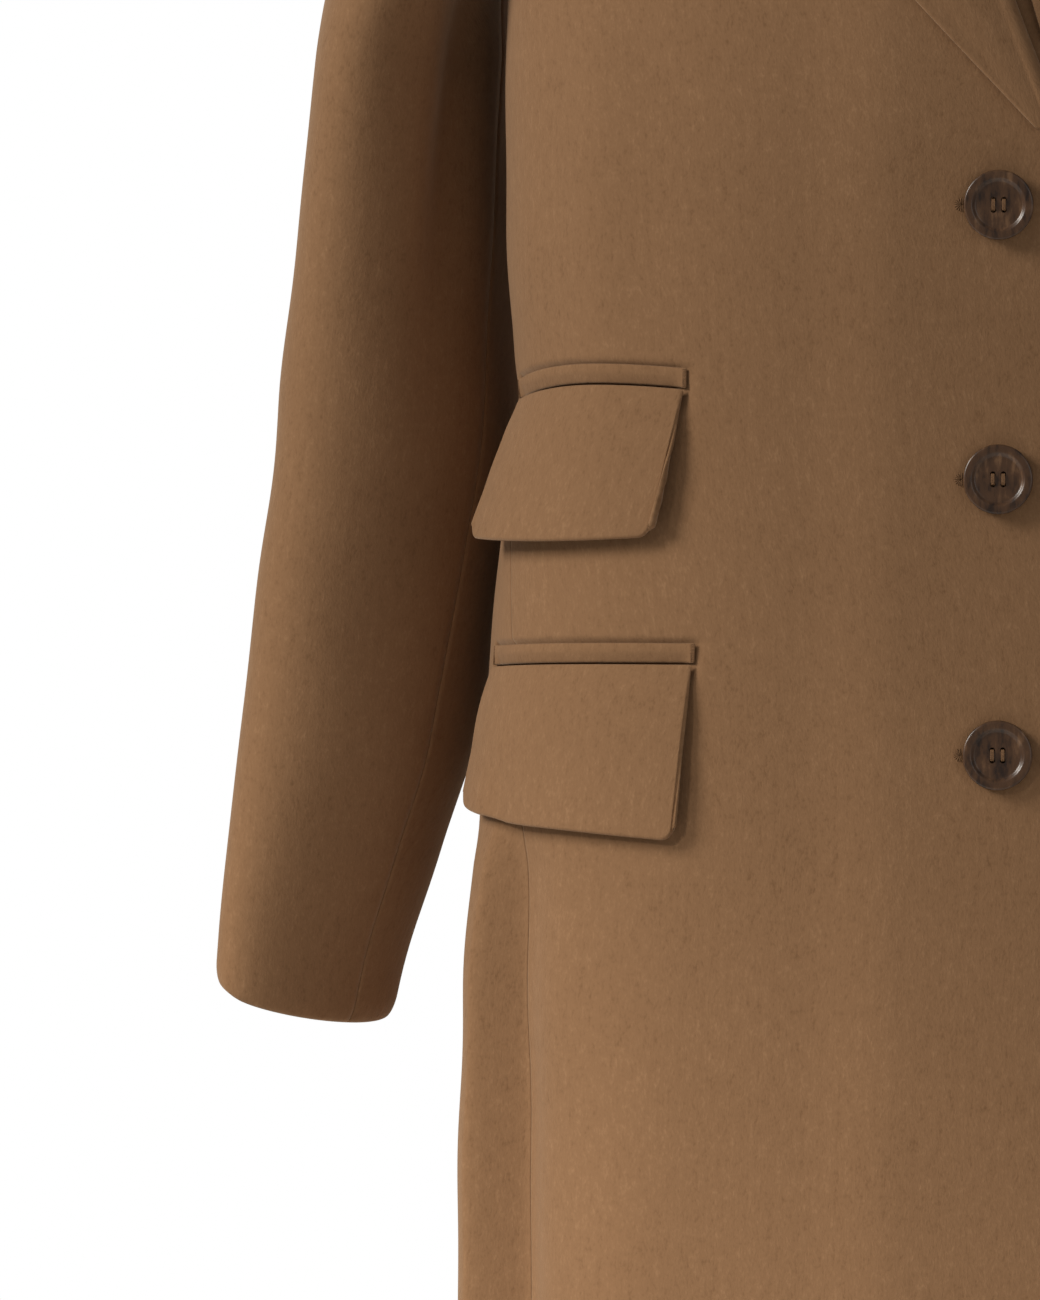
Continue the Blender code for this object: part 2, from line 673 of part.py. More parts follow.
def place_collar(column, row):
    last_column = 2 * (COLLAR_HALF_ROWS + COLLAR_GORGE_ROWS)
    last_row = COLLAR_STAND_COLUMNS + COLLAR_FALL_COLUMNS
    point = collar_point(column, row)
    along = collar_point(min(column + 1, last_column), row) - collar_point(max(column - 1, 0), row)
    rise = collar_point(column, min(row + 1, last_row)) - collar_point(column, max(row - 1, 0))
    return point, point - along.cross(rise).normalized() * CLOTH


def flap_seam(flap, part):
    """Height of the pocket seam; it rises toward the front and arches a little."""
    return flap.seam + flap.seam_rise * part + flap.arch * sin(pi * part)


def flap_place(flap, part, down):
    """A point of a pocket flap: part runs from its rear to its front end, down from seam to lower edge."""
    eased = mix(part, ease(part), FLAP_COLUMN_EASE)
    rear = angle_at(flap.rear, flap.seam)
    front = angle_at(flap.front, flap.seam)
    length = (body_point(flap.side, rear, flap.seam) - body_point(flap.side, front, flap.seam)).length
    cut = max(FLAP_CORNER - min(eased, 1.0 - eased) * length, 0.0)
    rounding = FLAP_CORNER - sqrt(max(FLAP_CORNER**2 - cut**2, 0.0))
    belly = flap.belly * sin(pi * eased)
    depth = mix(flap.depth_rear, flap.depth_front, eased**FLAP_DEPTH_EASE) + belly - rounding
    sweep = mix(flap.sweep_rear, flap.sweep_front, eased) / body_at["front_depth"](flap.seam)
    angle = mix(rear, front, eased) + sweep * down
    height = flap_seam(flap, eased) - depth * down
    flare = mix(flap.flare_rear, flap.flare_front, eased) * down**FLAP_FLARE_EASE
    thickness = mix(FLAP_SEAM_CLOTH, FLAP_CLOTH, ease(down / FLAP_FULL_AT))
    return angle, height, LAID_GAP + flare + thickness, thickness


def place_flap(flap):
    def place(column, row):
        part = column / FLAP_COLUMNS if flap.side == RIGHT else 1.0 - column / FLAP_COLUMNS
        return body_wall(flap.side, *flap_place(flap, part, 1.0 - row / FLAP_ROWS))

    return place


def place_welt(flap):
    rear = angle_at(flap.rear, flap.seam)
    front = angle_at(flap.front, flap.seam)
    past = WELT_PAST_FLAP / body_at["front_depth"](flap.seam)

    def place(column, row):
        part = column / WELT_COLUMNS if flap.side == RIGHT else 1.0 - column / WELT_COLUMNS
        angle = mix(rear + past, front - past, part)
        height = flap_seam(flap, part) + WELT_GAP + WELT_HEIGHT * row / WELT_ROWS
        bulge = WELT_BULGE * sin(pi * row / WELT_ROWS)
        return body_wall(flap.side, angle, height, WELT_LIFT + WELT_CLOTH + bulge, WELT_CLOTH)

    return place


def add_cloth(home, name, columns, rows, place, material):
    """One cut piece: a grid with a second layer behind it, both placed point by point."""
    cloth = bmesh.new()
    bmesh.ops.create_grid(cloth, x_segments=columns, y_segments=rows, size=0.5)
    column_mark = cloth.verts.layers.int.new("column")
    row_mark = cloth.verts.layers.int.new("row")
    for corner in cloth.verts:
        corner[column_mark] = round((corner.co.x + 0.5) * columns)
        corner[row_mark] = round((corner.co.y + 0.5) * rows)
    layer = bmesh.ops.extrude_face_region(cloth, geom=cloth.faces[:], use_keep_orig=True)
    hidden = {part for part in layer["geom"] if isinstance(part, bmesh.types.BMVert)}
    for corner in cloth.verts:
        outer, inner = place(corner[column_mark], corner[row_mark])
        corner.co = inner if corner in hidden else outer
    bmesh.ops.recalc_face_normals(cloth, faces=cloth.faces)
    mesh = bpy.data.meshes.new(name)
    cloth.to_mesh(mesh)
    cloth.free()
    mesh.materials.append(material)
    piece = bpy.data.objects.new(name, mesh)
    home.objects.link(piece)
    return piece


def hole_cutter(store, name, place):
    mesh = bpy.data.meshes.new(name)
    cutter = bmesh.new()
    for across in (-HOLE_SPACING, HOLE_SPACING):
        for up in (-HOLE_SPACING, HOLE_SPACING):
            bmesh.ops.create_cone(
                cutter, cap_ends=True, segments=HOLE_STEPS, radius1=HOLE_RADIUS, radius2=HOLE_RADIUS,
                depth=BUTTON_THICKNESS * 3.0, matrix=Matrix.Translation((across, up, BUTTON_THICKNESS / 2.0)))
    cutter.to_mesh(mesh)
    cutter.free()
    tool = bpy.data.objects.new(name, mesh)
    tool.matrix_world = place
    tool.hide_render = True
    tool.display_type = "WIRE"
    store.objects.link(tool)
    return tool


def add_button(home, store, number, height, material):
    """A turned button seated on the right front at the centre line, its flat back toward the cloth."""
    name = "button_%d" % number
    face = BUTTON_THICKNESS - BUTTON_DISH
    outline = (
        (0.0, 0.0),
        (BUTTON_RADIUS - BUTTON_EDGE, 0.0),
        (BUTTON_RADIUS, BUTTON_EDGE),
        (BUTTON_RADIUS, BUTTON_THICKNESS - BUTTON_EDGE),
        (BUTTON_RADIUS - BUTTON_EDGE, BUTTON_THICKNESS),
        (BUTTON_RADIUS - BUTTON_RIM, BUTTON_THICKNESS),
        (BUTTON_RADIUS - BUTTON_RIM - BUTTON_DISH, face),
        (0.0, face),
    )
    mesh = bpy.data.meshes.new(name)
    profile = bmesh.new()
    corners = [profile.verts.new((radius, 0.0, level)) for radius, level in outline]
    for first, second in zip(corners, corners[1:]):
        profile.edges.new((first, second))
    bmesh.ops.spin(
        profile, geom=list(profile.verts) + list(profile.edges), cent=(0.0, 0.0, 0.0), axis=(0.0, 0.0, 1.0),
        angle=2.0 * pi, steps=BUTTON_STEPS, use_merge=True)
    bmesh.ops.remove_doubles(profile, verts=profile.verts, dist=0.00002)
    bmesh.ops.recalc_face_normals(profile, faces=profile.faces)
    profile.to_mesh(mesh)
    profile.free()
    mesh.materials.append(material)
    button = bpy.data.objects.new(name, mesh)
    outward = body_normal(RIGHT, 0.0, height)
    seat = front_point(RIGHT, 0.0, height, BUTTON_SEAT)
    button.matrix_world = Matrix.Translation(seat) @ outward.to_track_quat("Z", "Y").to_matrix().to_4x4()
    home.objects.link(button)
    holes = button.modifiers.new("holes", "BOOLEAN")
    holes.operation = "DIFFERENCE"
    holes.solver = "EXACT"
    holes.object = hole_cutter(store, name + "_holes", button.matrix_world)
    return button


def build():
    clear_scene()
    home = bpy.data.collections.new(OBJECT_NAME)
    store = bpy.data.collections.new("cutters")
    for collection in (home, store):
        bpy.context.scene.collection.children.link(collection)
    wool = finish("wool", WOOL_COLOUR, WOOL_ROUGHNESS)
    horn = finish("button", BUTTON_COLOUR, BUTTON_ROUGHNESS)

    loop_steps = SIDE_COLUMNS + 2 * ARM_ROWS
    forearm = SIDE_COLUMNS // 2 + FOREARM_SEAM_STEP
    hind = SIDE_COLUMNS // 2 + 2 * ARM_ROWS - HIND_SEAM_STEP
    top_steps = hind - forearm
    under_steps = loop_steps - top_steps
    sleeve_rows = SLEEVE_CAP_ROWS + SLEEVE_TUBE_ROWS
    seam_rows = SKIRT_ROWS + CHEST_ROWS
    lapel_feet = {RIGHT: (BREAK, 0.0), LEFT: (LEFT_ROLL_FOOT, LEFT_EDGE_FOOT)}

    for side, word in ((RIGHT, "right"), (LEFT, "left")):
        add_cloth(home, "front_" + word, FRONT_COLUMNS, PANEL_ROWS, place_front(side), wool)
        add_cloth(home, "side_" + word, SIDE_COLUMNS, seam_rows, place_side(side), wool)
        top = place_sleeve(side, forearm, hind)
        add_cloth(home, "sleeve_top_" + word, top_steps, sleeve_rows, top, wool)
        under = place_sleeve(side, hind, hind + under_steps)
        add_cloth(home, "sleeve_under_" + word, under_steps, sleeve_rows, under, wool)
        lapel = place_lapel(side, *lapel_feet[side])
        add_cloth(home, "lapel_" + word, LAPEL_COLUMNS, LAPEL_ROWS, lapel, wool)
    add_cloth(home, "back", BACK_COLUMNS, PANEL_ROWS, place_back, wool)

    collar_columns = 2 * (COLLAR_HALF_ROWS + COLLAR_GORGE_ROWS)
    collar_rows = COLLAR_STAND_COLUMNS + COLLAR_FALL_COLUMNS
    add_cloth(home, "collar", collar_columns, collar_rows, place_collar, wool)

    for flap in FLAPS:
        add_cloth(home, "flap_" + flap.name, FLAP_COLUMNS, FLAP_ROWS, place_flap(flap), wool)
        add_cloth(home, "welt_" + flap.name, WELT_COLUMNS, WELT_ROWS, place_welt(flap), wool)
    for number, height in enumerate(BUTTON_HEIGHTS, 1):
        add_button(home, store, number, height, horn)


build()
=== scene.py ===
"""Dresses the single-breasted coat: every cut piece becomes a soft wool shell on the form of its solid.

Metres, +Z up. The front faces -Y and the wearer's right side is -X. The tables and curves of the form are
those of the solids, read here at any point between their grid lines, so that the cloth comes out smooth.
"""
from collections import namedtuple
from math import pi, radians, tan

import bmesh
import bpy
import numpy as np
from mathutils import Matrix, Vector


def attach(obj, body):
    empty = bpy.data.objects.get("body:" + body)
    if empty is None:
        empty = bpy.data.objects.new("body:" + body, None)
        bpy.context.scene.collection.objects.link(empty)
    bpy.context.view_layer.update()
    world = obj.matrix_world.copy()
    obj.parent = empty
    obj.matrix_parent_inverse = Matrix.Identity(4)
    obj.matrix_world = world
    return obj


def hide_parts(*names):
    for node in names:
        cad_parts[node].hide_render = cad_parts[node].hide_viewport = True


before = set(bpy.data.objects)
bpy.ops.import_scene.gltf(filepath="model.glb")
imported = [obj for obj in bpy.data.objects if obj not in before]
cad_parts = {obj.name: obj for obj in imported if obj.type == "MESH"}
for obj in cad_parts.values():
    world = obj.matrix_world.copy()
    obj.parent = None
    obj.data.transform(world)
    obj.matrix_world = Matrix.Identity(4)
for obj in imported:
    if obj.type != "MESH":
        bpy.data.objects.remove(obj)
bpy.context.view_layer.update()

RIGHT, LEFT = -1, 1
WORD = {RIGHT: "right", LEFT: "left"}
UP = np.array((0.0, 0.0, 1.0))


def table(columns, *rows):
    """Rows of sizes with named columns."""
    row_of = namedtuple("row_of", columns)
    return tuple(row_of(*row) for row in rows)


# Cloth: thick fulled wool, with a narrow gap wherever two pieces are sewn together or lie on each other
CLOTH = 0.0026
FLAP_CLOTH = 0.0042
FLAP_LAYERS = 0.0031
SEAM_GAP = 0.00010
LAID_GAP = 0.0008
LAP_GAP = 0.0009

# Heights of the coat, measured from the neck points
HEM = -1.020
BREAK = -0.305
FRONT_SEAM_TOP = -0.222
BACK_SEAM_TOP = -0.215
UNDERARM_DIP = 0.016
SHOULDER_POINT = -0.042
NECKLINE = -0.002

# Front closing and neck
FRONT_LAP = 0.022
LAP_FROM = 0.040
LAP_TO = 0.080
LAP_TOP = -0.110
LAP_FADE = 0.070
NECK_OUT = 0.075
GORGE = -0.034

# Rows of the panels between these marks, as on the solids
SKIRT_ROWS = 14
CHEST_ROWS = 2
ARM_ROWS = 8
SHOULDER_ROWS = 4
ARM_ROW_EASE = 1.35
SEAM_ROWS = SKIRT_ROWS + CHEST_ROWS
ARM_END = SEAM_ROWS + ARM_ROWS
PANEL_ROWS = ARM_END + SHOULDER_ROWS

# Body form, from the hem up to the neck points. Depths run forward and back from the widest line.
BODY = table(
    "height half_width front_depth back_depth squareness middle",
    (-1.020, 0.2275, 0.150, 0.152, 2.50, -0.010),
    (-0.747, 0.2147, 0.141, 0.141, 2.70, -0.012),
    (-0.589, 0.2146, 0.135, 0.130, 2.75, -0.014),
    (-0.514, 0.2104, 0.131, 0.120, 2.75, -0.015),
    (-0.410, 0.2008, 0.126, 0.103, 2.65, -0.015),
    (-0.340, 0.2040, 0.127, 0.108, 2.50, -0.014),
    (-0.289, 0.2050, 0.129, 0.113, 2.35, -0.013),
    (-0.235, 0.2035, 0.129, 0.116, 2.20, -0.012),
    (-0.190, 0.2015, 0.123, 0.115, 2.10, -0.010),
    (-0.140, 0.1995, 0.111, 0.108, 2.05, -0.008),
    (-0.095, 0.1975, 0.094, 0.097, 2.00, -0.007),
    (-0.060, 0.1962, 0.075, 0.085, 1.95, -0.006),
    (-0.042, 0.1950, 0.064, 0.078, 1.95, -0.005),
    (-0.028, 0.1550, 0.053, 0.071, 1.95, -0.004),
    (-0.014, 0.1150, 0.042, 0.063, 1.95, -0.004),
    (0.000, 0.0750, 0.032, 0.055, 1.95, -0.004),
)

# Seams of the side panels, in degrees round the body from the centre front
SIDE_SEAMS = table(
    "height front back",
    (-1.020, 63.9, 114.0),
    (-0.747, 68.6, 110.0),
    (-0.660, 68.9, 108.0),
    (-0.600, 67.9, 107.0),
    (-0.520, 71.4, 105.0),
    (-0.410, 81.3, 104.0),
    (-0.300, 84.6, 105.0),
    (-0.200, 84.5, 107.0),
)

# Armhole: how far the front and back reach outward at each height
ARMHOLE = table(
    "height front back",
    (-0.222, 0.2026, 0.1975),
    (-0.190, 0.1790, 0.1850),
    (-0.150, 0.1665, 0.1755),
    (-0.110, 0.1645, 0.1735),
    (-0.075, 0.1725, 0.1790),
    (-0.042, 0.1950, 0.1950),
)

# Soft folds of the skirt: each ridge grows from its top down to the hem
FOLDS = table(
    "side angle spread swell top",
    (RIGHT, 51.0, 8.0, 0.0090, -0.52),
    (RIGHT, 146.0, 11.0, 0.0080, -0.60),
    (LEFT, 48.0, 9.0, 0.0080, -0.54),
    (LEFT, 152.0, 10.0, 0.0070, -0.63),
)

# Flute of the skirt along each front side seam: the seam lies in a valley and the cloth behind it swells to a
# crest, some degrees past the seam, with a steep front flank
FLUTES = table(
    "height valley crest",
    (-1.020, 0.0085, 0.0150),
    (-0.747, 0.0085, 0.0140),
    (-0.660, 0.0075, 0.0120),
    (-0.607, 0.0045, 0.0080),
    (-0.585, 0.0015, 0.0025),
    (-0.560, 0.0000, 0.0000),
)
FLUTE_SHARE = {RIGHT: 1.0, LEFT: 0.85}
VALLEY_SPREAD_FRONT, VALLEY_SPREAD_BACK = 5.0, 1.8
CREST_PAST_SEAM = 4.0
CREST_SPREAD_FRONT, CREST_SPREAD_BACK = 1.8, 9.0

# Creases of the body cloth: a line at an angle and height, leaning from upright, with its half length,
# half width, bow and rise; a negative rise is a trough
BODY_CREASES = table(
    "side angle height slant reach width bow rise",
    (RIGHT, 60.0, -0.255, 38.0, 0.060, 0.015, 1.6, -0.0014),
    (RIGHT, 61.0, -0.330, 2.0, 0.120, 0.022, 0.3, 0.0022),
    (RIGHT, 74.0, -0.440, 72.0, 0.040, 0.012, 2.0, -0.0010),
    (RIGHT, 92.0, -0.405, 80.0, 0.045, 0.011, -2.0, -0.0022),
    (RIGHT, 96.0, -0.435, 68.0, 0.050, 0.012, 1.5, -0.0018),
    (RIGHT, 128.0, -0.385, 64.0, 0.060, 0.013, 1.4, -0.0028),
    (RIGHT, 138.0, -0.420, 74.0, 0.065, 0.014, -1.0, -0.0024),
    (RIGHT, 122.0, -0.255, -36.0, 0.060, 0.014, 1.2, -0.0026),
    (LEFT, 58.0, -0.262, 34.0, 0.055, 0.014, 1.4, -0.0024),
    (LEFT, 50.0, -0.310, 28.0, 0.070, 0.018, -1.0, 0.0015),
    (LEFT, 76.0, -0.432, 66.0, 0.045, 0.013, 1.6, -0.0014),
    (LEFT, 94.0, -0.398, 76.0, 0.045, 0.012, -1.8, -0.0024),
    (LEFT, 131.0, -0.372, 60.0, 0.055, 0.013, 1.2, -0.0026),
    (LEFT, 141.0, -0.412, 70.0, 0.070, 0.015, -1.2, -0.0026),
    (LEFT, 120.0, -0.262, -32.0, 0.055, 0.014, 1.4, -0.0024),
)
CREASE_RADIUS = 0.20
CREASE_FLANK = 0.7

# Sleeve, from below the armhole to the cuff: ellipses turned so that their front end points outward
SLEEVE = table(
    "height out back half_across half_along turn lean",
    (-0.270, 0.2432, 0.030, 0.0342, 0.0760, 20.0, 2.0),
    (-0.330, 0.2456, 0.026, 0.0349, 0.0710, 27.0, 4.0),
    (-0.420, 0.2501, 0.016, 0.0377, 0.0680, 34.0, 6.0),
    (-0.489, 0.2575, 0.002, 0.0361, 0.0660, 37.0, 9.0),
    (-0.553, 0.2662, -0.014, 0.0332, 0.0620, 38.0, 13.0),
    (-0.595, 0.2748, -0.025, 0.0282, 0.0580, 37.0, 16.0),
    (-0.633, 0.2822, -0.034, 0.0235, 0.0542, 36.0, 19.0),
    (-0.6635, 0.2868, -0.040, 0.0217, 0.0515, 35.0, 21.0),
)
SLEEVE_CAP_ROWS = 6
SLEEVE_TUBE_ROWS = 10
SLEEVE_ROWS = SLEEVE_CAP_ROWS + SLEEVE_TUBE_ROWS
CAP_FULLNESS = 0.95
CAP_FORWARD = 0.30
CAP_SLOPE = 0.36
CAP_UNDER = 0.25
ARMHOLE_LOOK_UP = 0.004
CAP_LOOK_DOWN = 0.004
ARMHOLE_GAP = 0.00020
CAP_SETTLE = 0.08
CUFF_PITCH = 7.0
FOREARM_SEAM_PART = 0.60
HIND_SEAM_ROW = SEAM_ROWS + 5
LOOP_STEPS = 40
SLEEVE_GIRTH = 0.34
CUFF_ROLL = 0.0035
CUFF_ROLL_HEIGHT = 0.010
CUFF_ROLL_FROM = 0.983

# The seam turnings inside each armhole: widths under the body and the sleeve, cloth, and gap to the walls
TURNING_BODY = 0.0072
TURNING_SLEEVE = 0.0034
TURNING_CLOTH = 0.0008
TURNING_GAP = 0.0008

# Creases of the sleeves: the share of the way round from the inner side over the front, then as above
SLEEVE_CREASES = table(
    "side share height slant reach width bow rise",
    (RIGHT, 0.060, -0.300, 0.0, 0.080, 0.014, 0.0, -0.0075),
    (RIGHT, 0.140, -0.445, 48.0, 0.045, 0.018, 2.0, -0.0010),
    (RIGHT, 0.100, -0.485, 54.0, 0.050, 0.019, -1.5, -0.0012),
    (RIGHT, 0.060, -0.525, 50.0, 0.045, 0.017, 1.5, -0.0009),
    (RIGHT, 0.640, -0.440, -55.0, 0.050, 0.015, 1.2, -0.0026),
    (RIGHT, 0.700, -0.490, -62.0, 0.050, 0.014, -1.4, -0.0024),
    (RIGHT, 0.780, -0.300, -20.0, 0.070, 0.017, 0.8, -0.0036),
    (LEFT, 0.070, -0.295, -3.0, 0.080, 0.014, 0.2, -0.0046),
    (LEFT, 0.150, -0.430, 54.0, 0.045, 0.013, 1.8, -0.0024),
    (LEFT, 0.090, -0.475, 62.0, 0.045, 0.014, -1.6, -0.0026),
    (LEFT, 0.055, -0.520, 58.0, 0.040, 0.012, 1.2, -0.0020),
    (LEFT, 0.650, -0.452, -52.0, 0.050, 0.015, 1.4, -0.0028),
    (LEFT, 0.710, -0.500, -60.0, 0.045, 0.014, -1.2, -0.0022),
    (LEFT, 0.790, -0.310, -18.0, 0.070, 0.017, 0.7, -0.0034),
)

# Lapel, as seen from the front: the notch, the tip and the belly of its outer edge
LAPEL_ROW_EASE = 1.6
LAPEL_FOOT = 0.007
LAPEL_BELLY = 0.010
LAPEL_FEET = {RIGHT: (BREAK, 0.0), LEFT: (-0.2310, 0.17)}
ROLL_LIFT = 0.0050
ROLL_TURN = 0.0016
ROLL_EDGE_LIFT = 0.0006
ROLL_EDGE_REACH = 0.12
ROLL_SWELL_REACH = 0.80
ROLL_WRAP = 0.12
WRAP_BULGE, WRAP_RISE = 0.0006, 0.0008
WRAP_BACK, WRAP_CREST = 0.0030, 0.0002
NOTCH_OUT, NOTCH_HEIGHT = 0.112, -0.082
TIP_OUT, TIP_HEIGHT = 0.148, -0.101
NOTCH_COLUMN = 0.50
NOTCH_GAP = 0.0012
NOTCH_FROM = 0.55

# Collar, from the centre back round to the gorge: neck edge, outer edge and how high it stands
COLLAR = table(
    "place neck_angle neck_height edge_angle edge_height stand",
    (0, 180.0, -0.0050, 180.0, -0.0440, 0.029),
    (1, 150.0, -0.0050, 150.0, -0.0450, 0.029),
    (2, 120.0, -0.0050, 124.0, -0.0420, 0.027),
    (3, 90.0, -0.0035, 90.0, -0.0200, 0.023),
    (4, 66.0, -0.0170, 71.0, -0.0370, 0.014),
    (5, 56.5, -0.0330, 66.5, -0.0490, 0.006),
)
COLLAR_POINT_OUT, COLLAR_POINT_HEIGHT = 0.139, -0.060
COLLAR_NECK_PART = 12.0 / 17.0
COLLAR_STAND_PART = 2.0 / 9.0
COLLAR_ROLL = 0.010
COLLAR_ROLL_OVER = 2.0
COLLAR_MEET_RATE = 3.0
COLLAR_GAP = 0.0020
COLLAR_LEAN = 0.12
COLLAR_SWELL = 0.010
COLLAR_FOOT_LIFT = 0.0010
COLLAR_TURN_SHARE = 0.15
COLLAR_COLUMN_EASE = 1.1
COLLAR_NEAR = 0.62
COLLAR_STAND_FADE = 0.5
COLLAR_TURN_FADE = 0.625
COLLAR_SWELL_FADE = 0.77
COLLAR_LYING = (0.15, 0.35)

# Pocket flaps: ends are distances from the centre front, sweep moves the lower edge back round the body
FLAPS = table(
    "name side seam seam_rise arch rear front depth_rear depth_front belly sweep_rear sweep_front"
    " flare_rear flare_front",
    ("hip_right", RIGHT, -0.5235, 0.004, 0.001, 0.2070, 0.1228, 0.057, 0.071, 0.000, 0.000, 0.002,
     0.004, 0.002),
    ("ticket_right", RIGHT, -0.4140, 0.005, 0.004, 0.1975, 0.1260, 0.058, 0.060, 0.005, -0.001, 0.006,
     0.010, 0.003),
    ("hip_left", LEFT, -0.5235, 0.004, 0.001, 0.2070, 0.1228, 0.059, 0.071, 0.000, 0.000, 0.002,
     0.004, 0.002),
)
FLAP_CORNER = 0.0045
FLAP_COLUMN_EASE = 0.75
FLAP_DEPTH_EASE = 0.6
FLAP_FLARE_EASE = 1.15
FLAP_SEAM_CLOTH = 0.0018
FLAP_FULL_AT = 0.50
WELT_HEIGHT = 0.0080
WELT_GAP = 0.0005
WELT_CLOTH = 0.0018
WELT_PAST_FLAP = 0.0006

# The welts lie almost flush: the cloth under them is pressed in, and both welt and flap dip into the
# pocket seam
WELT_DIP = 0.0014
WELT_DIP_SHARE = 0.70
WELT_LIFT = 0.0002
WELT_END_LIFT = 0.0007
WELT_END_CLOTH = 0.0006
WELT_END = 0.006
FLAP_SINK = 0.0012
RECESS_DEPTH = 0.0021
RECESS_PAST = 0.0030
RECESS_EDGE = 0.0036
RECESS_BELOW = 0.011
DIP_EDGE = 0.0050

# Buttons: four holes, a raised rim and a dished face
BUTTON_HEIGHTS = (-0.335, -0.445, -0.555)
BUTTON_RADIUS = 0.014
BUTTON_THICKNESS = 0.0042
BUTTON_SEAT = 0.0016
BUTTON_RIM = 0.0030
BUTTON_DISH = 0.0012
BUTTON_EDGE = 0.0010
BUTTON_EDGE_STEPS = 6
BUTTON_STEPS = 72
BUTTON_MERGE = 0.00002
BUTTON_SHARP = 40.0
DISH_RUN = 1.6 * BUTTON_DISH
DISH_STEPS = 9
DISH_RING = 0.55
BACK_RING = 0.5
HOLE_RADIUS = 0.0011
HOLE_SPACING = 0.0021
HOLE_STEPS = 20
HOLE_CUT = 3.0 * BUTTON_THICKNESS

# Grid lines in the rounding of a cut edge, the most of a band that it may take, and how tight it is at a
# seam. The sewn edges of a piece are named by letters: left, right, bottom, top.
ROUND_STEPS = 4
ROUND_MOST = 0.4
SEWN_ROUNDING = 0.16

# The gentle unevenness of the cloth: waves along x, y and z from a start; the two waves of a pair are
# multiplied
UNEVEN = 0.0005
WAVES = table(
    "share first second",
    (1.0, (41.0, 0.0, 17.0, 1.3), (0.0, -13.0, 29.0, 0.4)),
    (0.7, (0.0, 23.0, -37.0, 2.1), (19.0, 0.0, 53.0, 0.0)),
    (0.5, (31.0, -11.0, 67.0, 0.0), (0.0, 0.0, 0.0, pi / 2.0)),
)

# Small steps for reading the way a surface faces or runs, and the least length that counts
LOOK_TURN = 0.002
LOOK_RISE = 0.0008
LOOK_PART = 0.001
LEAST_LENGTH = 1e-12
LEAST_STEP = 1e-9


def through(places, values):
    """A smooth curve through the values that never swings past them between two places."""
    place = np.array(places, dtype=float)
    value = np.array(values, dtype=float)
    step = np.diff(place)
    slope = np.diff(value) / step
    tangent = np.zeros(len(place))
    tangent[0] = slope[0]
    tangent[-1] = slope[-1]
    for index in range(1, len(place) - 1):
        before = slope[index - 1]
        after = slope[index]
        if before * after > 0.0:
            tangent[index] = 2.0 * before * after / (before + after)

    def at(wanted):
        index = np.clip(np.searchsorted(place, wanted) - 1, 0, len(step) - 1)
        part = np.clip((wanted - place[index]) / step[index], 0.0, 1.0)
        rest = 1.0 - part
        ends = value[index] * (1.0 + 2.0 * part) * rest**2 + value[index + 1] * (3.0 - 2.0 * part) * part**2
        pulls = tangent[index] * part * rest**2 - tangent[index + 1] * part**2 * rest
        return ends + step[index] * pulls

    return at


def columns_of(rows, key):
    """One smooth curve for every column of a table, along the column named as its key."""
    places = [getattr(row, key) for row in rows]
    return {name: through(places, [getattr(row, name) for row in rows]) for name in rows[0]._fields}


body_at = columns_of(BODY, "height")
seam_at = columns_of(SIDE_SEAMS, "height")
armhole_at = columns_of(ARMHOLE, "height")
sleeve_at = columns_of(SLEEVE[::-1], "height")
collar_at = columns_of(COLLAR, "place")
flute_at = columns_of(FLUTES, "height")


def ease(part):
    part = np.clip(part, 0.0, 1.0)
    return part * part * (3.0 - 2.0 * part)


def mix(first, second, part):
    return first + (second - first) * part


def unit(way):
    return way / np.maximum(np.linalg.norm(way, axis=-1, keepdims=True), LEAST_LENGTH)


def lead(number):
    """A number for every point, ready to scale the points' three coordinates."""
    return np.asarray(number)[..., None]


def crease_lift(crease, off, rise):
    """Height of one crease at a distance across and up from its middle."""
    slant = radians(crease.slant)
    along = off * np.sin(slant) + rise * np.cos(slant)
    across = off * np.cos(slant) - rise * np.sin(slant) + crease.bow * along**2
    wide = (across / crease.width) ** 2
    return crease.rise * (1.0 - CREASE_FLANK * wide) * np.exp(-wide - (along / crease.reach) ** 2)


def ring_radius(angle, height):
    depth = np.where(np.cos(angle) > 0.0, body_at["front_depth"](height), body_at["back_depth"](height))
    power = body_at["squareness"](height)
    across = np.abs(np.sin(angle)) / body_at["half_width"](height)
    along = np.abs(np.cos(angle)) / depth
    return (across**power + along**power) ** (-1.0 / power)


def turn_past(side, angle, mark_side, mark):
    """How far an angle lies past a mark of one side, toward the back; the mark is in degrees."""
    return (angle * side * mark_side - np.radians(mark) + pi) % (2.0 * pi) - pi


def swell_at(past, before, after):
    """A soft swell at a mark, with its own spread in degrees on either side."""
    return np.exp(-((past / np.radians(np.where(past < 0.0, before, after))) ** 2))


def fold_swell(side, angle, height):
    """Outward swell of the folds, flutes and creases; angles past the centre read the other side."""
    swell = 0.0
    for fold in FOLDS:
        past = turn_past(side, angle, fold.side, fold.angle)
        reach = ease((fold.top - height) / (fold.top - HEM))
        swell = swell + fold.swell * reach * swell_at(past, fold.spread, fold.spread)
    for flute_side, share in FLUTE_SHARE.items():
        past = turn_past(side, angle, flute_side, seam_at["front"](height))
        crest = swell_at(past - radians(CREST_PAST_SEAM), CREST_SPREAD_FRONT, CREST_SPREAD_BACK)
        valley = swell_at(past, VALLEY_SPREAD_FRONT, VALLEY_SPREAD_BACK)
        swell = swell + share * (flute_at["crest"](height) * crest - flute_at["valley"](height) * valley)
    for crease in BODY_CREASES:
        off = turn_past(side, angle, crease.side, crease.angle) * CREASE_RADIUS
        swell = swell + crease_lift(crease, off, height - crease.height)
    return swell


